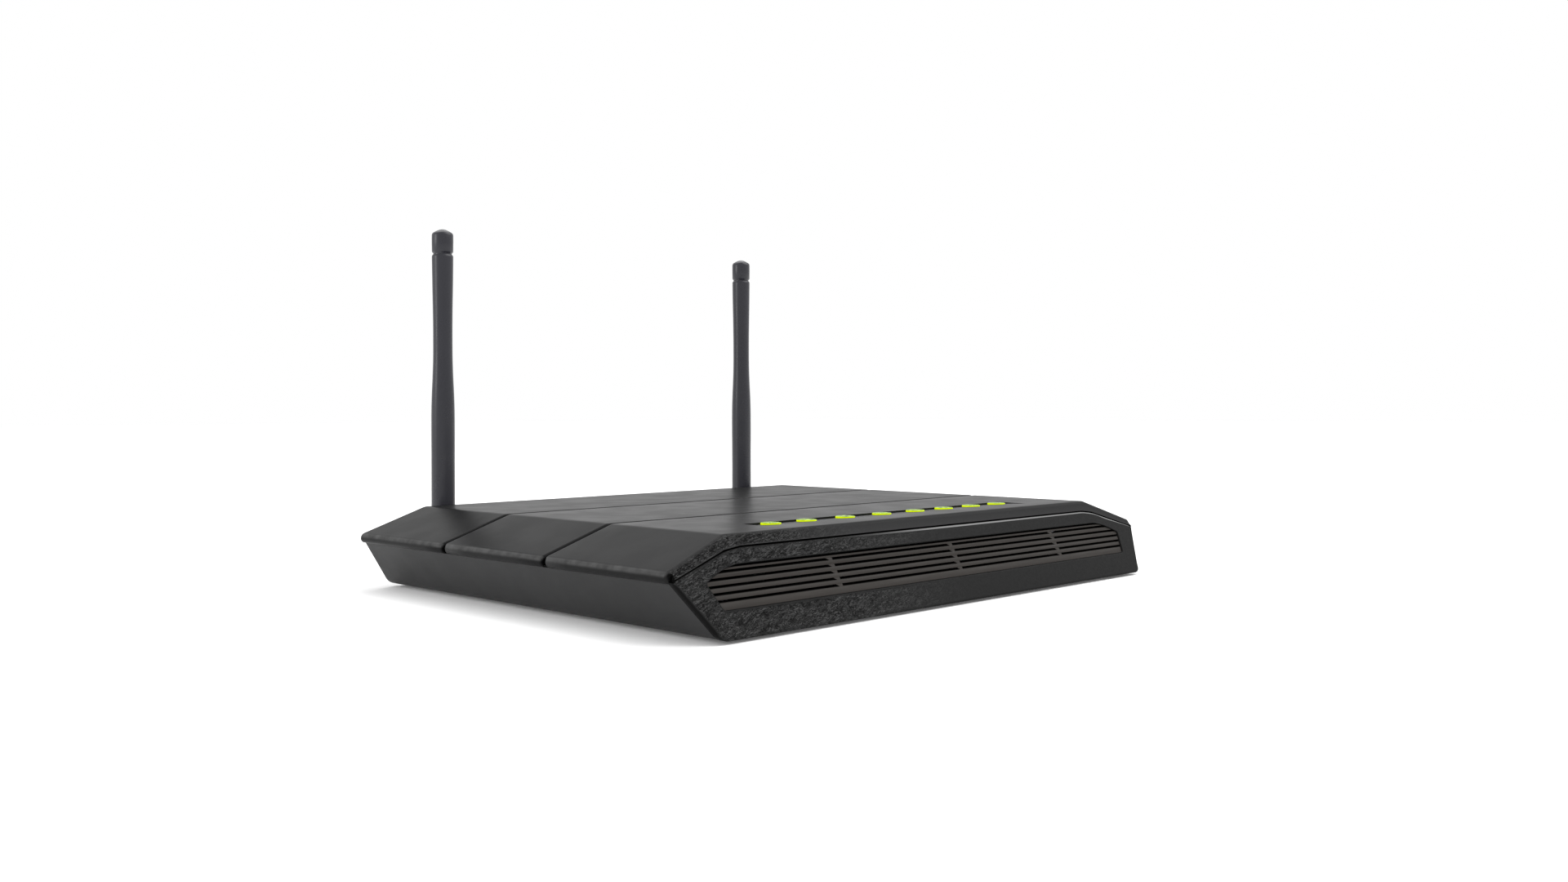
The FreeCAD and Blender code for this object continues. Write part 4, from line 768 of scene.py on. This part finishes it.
cover = build_cover()
holes = bmesh.new()
for x in LAMP_X:
    hole = [(LAMP_RADIUS + 0.06, BODY_HEIGHT - 4), (LAMP_RADIUS + 0.06, BODY_HEIGHT + 2)]
    turn_about(holes, hole, x, LAMP_Y, LAMP_SIDES)
cut(cover, loose("lamp_holes", holes))
cover.data.set_sharp_from_angle(angle=math.radians(COVER_SHARP))
finish_piece(cover, "cover_plastic", "top_cover")


# ---- bezel --------------------------------------------------------------------------
BEZEL_STEP = 0.32
BEZEL_ROWS = 26
INNER_EDGE = 0.35
OUTER_CUTS = [2.8, 0.8, 2.0, 2.0, 2.0, 2.0, 0.8, 2.8]  # how far each corner is cut back
INNER_CUTS = [1.0, 1.2, 2.0, 2.0, 2.0, 2.0, 1.2, 1.0]
OPENING = [(109.2, 7.9), (112.4, 15.8), (105.0, 18.7), (99.0, 20.0)]  # right half, from below


def rounded_loop(corners, cuts, edge_counts, arc_count=8):
    """A closed outline whose corners are cut back by a run and rounded."""
    points = []
    count = len(corners)
    for i in range(count):
        before, here, after = corners[i - 1], corners[i], corners[(i + 1) % count]
        run = cuts[i]
        enter = between(here, before, run / math.dist(here, before))
        leave = between(here, after, run / math.dist(here, after))
        for k in range(arc_count):
            t = k / arc_count
            points.append(between(between(enter, here, t), between(here, leave, t), t))
        next_run = cuts[(i + 1) % count]
        next_enter = between(after, here, next_run / math.dist(here, after))
        for k in range(edge_counts[i]):
            points.append(between(leave, next_enter, k / edge_counts[i]))
    return points


def mirrored(half):
    """A closed run of corners from its right half, read from top to bottom."""
    return [(-x, z) for x, z in reversed(half)] + list(half)


BEZEL_OUTER = mirrored([(94.0, 24.6), (101.0, 23.8), (124.9, 16.95), (114.4, 0.0)])
BEZEL_INNER = mirrored(OPENING[::-1])


def bezel_edge(z):
    """Rounding of the bezel's outer edge: tight above and below, broad down the sides."""
    return 0.5 + 0.5 * (smooth_step(0.2, 3.0, z) - smooth_step(15.8, 17.2, z))


def build_bezel():
    """The front frame, lofted round its opening from its outer edge to its inner one."""
    count = len(BEZEL_OUTER)
    edge_counts = []
    for i in range(count):
        length = math.dist(BEZEL_OUTER[i], BEZEL_OUTER[(i + 1) % count])
        edge_counts.append(max(4, round(length / BEZEL_STEP)))
    outer = rounded_loop(BEZEL_OUTER, OUTER_CUTS, edge_counts)
    inner = rounded_loop(BEZEL_INNER, INNER_CUTS, edge_counts)
    bm = bmesh.new()
    layers = [bm.verts.layers.float.new(name) for name in ("grain", "face", "rim", "crease")]
    rings = []
    shares = []
    for o, i in zip(outer, inner):
        width = math.dist(o, i)
        share = grain_share(o[0], *BEZEL_GRAIN_X)
        upper = smooth_step(16.8, 17.8, o[1])
        ring = []
        ring_shares = []

        def add(t, depth, face=0.0, rim=0.0):
            x, z = between(o, i, t)
            height, crease = leather(x, z)
            grain = face * share
            ring.append(place(x, front_y(z, depth - height * grain), z))
            # The rim share is a painted highlight along the upper rim, where the grain has faded.
            ring_shares.append((grain, face, rim * upper * (1 - share) / FADED, crease * grain))

        edge = bezel_edge(o[1])
        add(0.0, BEZEL_THICK)
        for k in range(6):
            a = math.radians(90 * k / 5)
            skin = share * k / 5 * (1.0 - edge) / 0.5
            add(edge * (1 - math.cos(a)) / width, edge * (1 - math.sin(a)), skin, float(k > 1))
        start, end = edge / width, 1 - INNER_EDGE / width
        for k in range(1, BEZEL_ROWS):
            t = k / BEZEL_ROWS
            add(start + (end - start) * t, 0.0, smooth_step(0, 0.08, t) * (1 - smooth_step(0.95, 1, t)))
        for k in range(4):
            a = math.radians(90 * k / 3)
            add(end + INNER_EDGE * math.sin(a) / width, INNER_EDGE * (1 - math.cos(a)))
        add(1.0, BEZEL_THICK)
        rings.append(ring)
        shares.append(ring_shares)
    rows = loft(bm, rings + rings[:1])
    for row, row_shares in zip(rows, shares + shares[:1]):
        for vert, vert_shares in zip(row, row_shares):
            for layer, share in zip(layers, vert_shares):
                vert[layer] = share
    bmesh.ops.remove_doubles(bm, verts=bm.verts, dist=1e-7)
    return new_object("bezel_frame", bm, "case", SLOT_MATERIALS["bezel_plastic"], 50)


finish_piece(build_bezel(), "bezel_plastic", "front_bezel")


# ---- grille -------------------------------------------------------------------------
GRILLE_SUNK = 0.5
GRILLE_BACK = 3.1
GRILLE_FOOT_Z = 7.95
GRILLE_TOP_Z = 19.4
SLOT_HEIGHT = 0.76
SLAT_EDGE = 0.14
RIB_HALF = 0.7
RIB_GUSSET = 1.5


def opening_half(z):
    """Half width of the bezel's opening at a height."""
    for (xa, za), (xb, zb) in zip(OPENING, OPENING[1:]):
        if za <= z <= zb:
            return xa + (xb - xa) * (z - za) / (zb - za)
    return OPENING[0][0] if z < OPENING[0][1] else OPENING[-1][0]


def slat_section(z0, z1):
    """A slat's section as (height, depth) pairs: flat front, rounded edges."""
    r = SLAT_EDGE
    return [
        (z0, GRILLE_BACK),
        (z0, GRILLE_SUNK + r),
        (z0 + r * 0.3, GRILLE_SUNK + r * 0.3),
        (z0 + r, GRILLE_SUNK),
        (z1 - r, GRILLE_SUNK),
        (z1 - r * 0.3, GRILLE_SUNK + r * 0.3),
        (z1, GRILLE_SUNK + r),
        (z1, GRILLE_BACK),
    ]


def add_slat(bm, z0, z1, inside):
    """One slat across the opening, painted dark as shade where it turns back into the slots."""
    rows = []
    section = slat_section(z0, z1)
    for share in (-1, 1):
        ring = []
        for z, depth in section:
            x = share * (opening_half(z) - 0.1)
            ring.append(place(x, front_y(z, depth), z))
        rows.append(ring)
    for row in loft(bm, rows, capped=True):
        for vert, (_, depth) in zip(row, section):
            vert[inside] = smooth_step(GRILLE_SUNK + 0.05, GRILLE_SUNK + 0.2, depth)


def add_rib(bm, x, z):
    """The bridge across one slot, with a small gusset on its left."""
    low, high = z - SLOT_HEIGHT / 2 - 0.05, z + SLOT_HEIGHT / 2 + 0.05
    left_low, left_high, right = x - RIB_HALF, x - RIB_HALF - RIB_GUSSET, x + RIB_HALF
    sunk = GRILLE_SUNK + 0.08
    corners = []
    for depth in (sunk, GRILLE_BACK):
        for px, pz in ((left_low, low), (right, low), (right, high), (left_high, high)):
            corners.append(bm.verts.new(place(px, front_y(pz, depth), pz)))
    for quad in ((0, 1, 2, 3), (4, 5, 6, 7), (0, 1, 5, 4), (1, 2, 6, 5), (2, 3, 7, 6), (3, 0, 4, 7)):
        bm.faces.new([corners[i] for i in quad])


def build_grille():
    """Slats between the slots, with three ribs across each slot."""
    bm = bmesh.new()
    inside = bm.verts.layers.float.new("inside")
    slots = [LOWEST_SLOT_Z + i * SLOT_PITCH for i in range(SLOT_COUNT)]
    edges = [GRILLE_FOOT_Z]
    for z in slots:
        edges += [z - SLOT_HEIGHT / 2, z + SLOT_HEIGHT / 2]
    edges.append(GRILLE_TOP_Z)
    for low, high in zip(edges[::2], edges[1::2]):
        add_slat(bm, low, high, inside)
    for z in slots:
        for x in spread(RIB_ROW_X, RIB_PITCH, RIB_COUNT):
            add_rib(bm, x, z)
    return new_object("grille_louvres", bm, "case", SLOT_MATERIALS["grille_plastic"], 30)


finish_piece(build_grille(), "grille_plastic", "vent_grille")


# ---- lamps --------------------------------------------------------------------------
LENS_TOP_Z = BODY_HEIGHT + 0.15
LENS_PLAY = 0.05
LENS_EDGE = 0.22
LEG_HALF = 1.4
RAIL_HALF = 2.4
RAIL_THICK = 1.4
RAIL_TOP_Z = BODY_HEIGHT - WALL - 1.1
LED_TOP_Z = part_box("indicator_leds")[1].z / MM - SHIFT_Z


def build_lamps():
    """One clear moulding: a rail, eight round lenses up and eight square legs down."""
    bm = bmesh.new()
    radius = LAMP_RADIUS - LENS_PLAY
    for x in LAMP_X:
        profile = [(radius, RAIL_TOP_Z - RAIL_THICK / 2), (radius, LENS_TOP_Z - LENS_EDGE)]
        for k in range(1, 5):
            a = math.radians(90 * k / 4)
            z = LENS_TOP_Z - LENS_EDGE * (1 - math.sin(a))
            profile.append((radius - LENS_EDGE * (1 - math.cos(a)), z))
        profile.append((radius * 0.5, LENS_TOP_Z + 0.04))
        turn_about(bm, profile, x, LAMP_Y, LAMP_SIDES)
        leg_low = (x - LEG_HALF, LAMP_Y - LEG_HALF, LED_TOP_Z + 0.6)
        block(bm, leg_low, (x + LEG_HALF, LAMP_Y + LEG_HALF, RAIL_TOP_Z - 0.5))
    rail_low = (LAMP_X[0], LAMP_Y - RAIL_HALF, RAIL_TOP_Z - RAIL_THICK)
    block(bm, rail_low, (LAMP_X[-1], LAMP_Y + RAIL_HALF, RAIL_TOP_Z))
    return new_object("light_guide", bm, "case", SLOT_MATERIALS["light_guide"], 35)


finish_piece(build_lamps(), "light_guide", "light_guide_strip")


# ---- antennas -----------------------------------------------------------------------
ANTENNA_X = 83.0
HINGE_Y = 189.0
SHAFT_TOP_Z = ANTENNA_TOP_Z - 10.3
TONGUE_HALF = 2.0
TONGUE_RADIUS = 4.2
FORK_GAP = 0.1
FOOT_REACH = 7.0
FOOT_TURNS = 24


def smooth_profile(points, steps=6):
    """A Catmull-Rom run through (radius, height) pairs."""
    padded = [points[0]] + list(points) + [points[-1]]
    out = []
    for a, b, c, d in zip(padded, padded[1:], padded[2:], padded[3:]):
        for k in range(steps):
            t = k / steps
            point = []
            for p, q, r, s in zip(a, b, c, d):
                square = (2 * p - 5 * q + 4 * r - s) * t * t
                point.append(0.5 * (2 * q + (r - p) * t + square + (3 * q - p - 3 * r + s) * t ** 3))
            out.append(tuple(point))
    return out + [points[-1]]


def whip_body(side):
    return "left_whip" if side < 0 else "right_whip"


def foot_shape(x):
    """A block down to the hinge with a round foot about the hinge line, to keep a whip's inside."""
    back, front, top = HINGE_Y + FOOT_REACH, HINGE_Y - FOOT_REACH, SHAFT_TOP_Z + 5
    rows = []
    for end in (-FOOT_REACH, FOOT_REACH):
        ring = [place(x + end, y, z) for y, z in ((back, top), (front, top), (front, HINGE_Z + 0.01))]
        for k in range(FOOT_TURNS + 1):
            a = math.radians(180 + 180 * k / FOOT_TURNS)
            y, z = HINGE_Y + WHIP_RADIUS * math.cos(a), HINGE_Z + WHIP_RADIUS * math.sin(a)
            ring.append(place(x + end, y, z))
        ring.append(place(x + end, back, HINGE_Z + 0.01))
        rows.append(ring)
    foot = bmesh.new()
    loft(foot, rows, capped=True)
    return loose("whip_foot", foot)


def build_whip(side, name):
    """The waisted sleeve with a round foot, forked over the knuckle's tongue."""
    x = side * ANTENNA_X
    shaft = smooth_profile([(4.65, 40.0), (4.62, 62.0), (4.45, 71.0), (4.1, 79.0), (3.86, 87.0), (3.82, 97.0),
                            (3.9, 106.0), (4.1, 118.0), (4.22, SHAFT_TOP_Z - 1.0)])
    profile = [(WHIP_RADIUS, HINGE_Z - WHIP_RADIUS - 1), (WHIP_RADIUS, HINGE_Z + 8)] + shaft
    profile += [(4.2, SHAFT_TOP_Z - 0.5), (3.9, SHAFT_TOP_Z), (2.5, SHAFT_TOP_Z)]
    bm = bmesh.new()
    turn_about(bm, profile, x, HINGE_Y)
    whip = new_object(name, bm, whip_body(side), SLOT_MATERIALS["antenna_plastic"])
    cut(whip, foot_shape(x), "INTERSECT")
    slot = bmesh.new()
    gap = TONGUE_HALF + FORK_GAP
    block(slot, (x - gap, HINGE_Y - 8, HINGE_Z - 9), (x + gap, HINGE_Y + 8, HINGE_Z + TONGUE_RADIUS + 0.6))
    cut(whip, loose("whip_slot", slot))
    round_edges(whip, 0.3, 3, 50)
    return whip


def build_cap(side, name):
    """The tip: a spigot in the sleeve, a ring groove, a short drum and a low dome."""
    groove = [(2.4, -4), (2.4, 0), (3.7, 0.02), (3.64, 0.3), (3.7, 0.55), (4.0, 0.85), (4.2, 1.2)]
    dome = [(4.26, 5), (4.24, 2.5), (4.1, 1.85), (3.7, 1.4), (2.6, 0.75), (1.4, 0.2), (0.5, 0)]
    profile = [(radius, SHAFT_TOP_Z + up) for radius, up in groove]
    profile += [(radius, ANTENNA_TOP_Z - down) for radius, down in dome]
    bm = bmesh.new()
    turn_about(bm, profile, side * ANTENNA_X, HINGE_Y)
    return new_object(name, bm, whip_body(side), SLOT_MATERIALS["antenna_plastic"], 60)


for side, word in ((-1, "left"), (1, "right")):
    finish_piece(build_whip(side, "whip_sleeve_" + word), "antenna_plastic", "antenna_whip_" + word)
    finish_piece(build_cap(side, "whip_tip_" + word), "antenna_plastic", "antenna_cap_" + word)


# ---- every other part: its CAD shape with moulded edges and its own finish ------------
OWN_PIECES = {"top_cover", "front_bezel", "vent_grille", "light_guide_strip"}
OWN_PIECES |= {part + word for part in ("antenna_whip_", "antenna_cap_") for word in ("left", "right")}
FINE_EDGES = {"lan_contacts", "phone_contacts", "usb_shell", "wifi_shield_cans", "transceiver_shield"}
NO_BEVEL = {"coax_cable_left", "coax_cable_right", "dc_jack_pin", "reset_plunger"}
MOULDED_EDGE = 0.18
FINE_EDGE = 0.06
LABEL_EDGE = 0.05


def edge_width(node):
    """How far a node's edges are rounded."""
    if node in FINE_EDGES:
        return FINE_EDGE
    return LABEL_EDGE if node == "rating_label" else MOULDED_EDGE


def finished_copy(node, body, slot):
    """A piece with a CAD node's own shape, its flat faces merged and its edges rounded."""
    bm = bmesh.new()
    bm.from_mesh(frame["nodes"][node].data)
    bmesh.ops.remove_doubles(bm, verts=bm.verts, dist=2e-6)
    bmesh.ops.dissolve_limit(bm, angle_limit=math.radians(1.0), verts=bm.verts, edges=bm.edges)
    obj = new_object("finished_" + node, bm, body, SLOT_MATERIALS[slot], 30)
    if node not in NO_BEVEL:
        round_edges(obj, edge_width(node), 2, 35)
    finish_piece(obj, slot, node)


for body, nodes in frame["record"]["behaviour"]["bodies"].items():
    for node in nodes:
        if node not in OWN_PIECES:
            finished_copy(node, body, frame["nodes"][node].data.materials[0].name)


# ---- floor, light and camera ---------------------------------------------------------
FLOOR_HALF = 6.0
CAMERA_PLACE = (-374.57, -292.93, 66.44)
CAMERA_YAW = 45.321
CAMERA_ROLL = -0.16
CAMERA_LENS = 31.06
CAMERA_SHIFT = -0.0209
SENSOR_WIDTH = 36.0


def build_floor():
    bm = bmesh.new()
    bmesh.ops.create_grid(bm, x_segments=8, y_segments=8, size=FLOOR_HALF)
    floor = linked("floor", bm)
    paint = Shader("floor_paint", (0.93, 0.93, 0.93), 0.9, Specular_IOR_Level=0.1)
    paint.shader.inputs["Emission Color"].default_value = (1, 1, 1, 1)
    paint.shader.inputs["Emission Strength"].default_value = 0.08
    floor.data.materials.append(paint.material)


def area_light(name, at, aim, size, power):
    """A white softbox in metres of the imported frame, facing a point."""
    light = bpy.data.lights.new(name, "AREA")
    light.shape = "RECTANGLE"
    light.size, light.size_y = size
    light.energy = power
    obj = bpy.data.objects.new(name, light)
    obj.location = at
    obj.rotation_euler = (Vector(aim) - Vector(at)).to_track_quat("-Z", "Y").to_euler()
    bpy.context.scene.collection.objects.link(obj)


def build_world():
    """Even white light from all round."""
    world = bpy.data.worlds.new("studio")
    bpy.context.scene.world = world
    world.use_nodes = True
    background = world.node_tree.nodes["Background"]
    background.inputs["Color"].default_value = (1, 1, 1, 1)
    background.inputs["Strength"].default_value = 1.0


def build_camera():
    """A level camera before the left corner, its picture moved down by a small shift."""
    yaw, roll = math.radians(CAMERA_YAW), math.radians(CAMERA_ROLL)
    ahead = Vector((math.sin(yaw), math.cos(yaw), 0))
    level = Vector((math.cos(yaw), -math.sin(yaw), 0))
    right = level * math.cos(roll) + Vector((0, 0, 1)) * math.sin(roll)
    camera = bpy.data.objects.new("camera", bpy.data.cameras.new("camera"))
    bpy.context.scene.collection.objects.link(camera)
    axes = Matrix((right, right.cross(ahead), -ahead)).transposed()
    camera.matrix_world = Matrix.Translation(place(*CAMERA_PLACE)) @ axes.to_4x4()
    camera.data.sensor_width = SENSOR_WIDTH
    camera.data.lens = CAMERA_LENS
    camera.data.shift_y = CAMERA_SHIFT
    camera.data.clip_start = 0.01
    bpy.context.scene.camera = camera


build_floor()
build_world()
area_light("key_softbox", (0.9, -0.7, 1.5), (0, 0, 0), (1.6, 1.6), 22)
area_light("top_softbox", (0.2, 0.9, 1.6), (0, 0, 0), (2.0, 1.0), 10)
area_light("rod_strip", (-0.84, 0.4, 0.28), (-0.083, 0.1, 0.09), (0.3, 0.3), 1.7)
build_camera()
bpy.context.scene.view_settings.view_transform = "Standard"
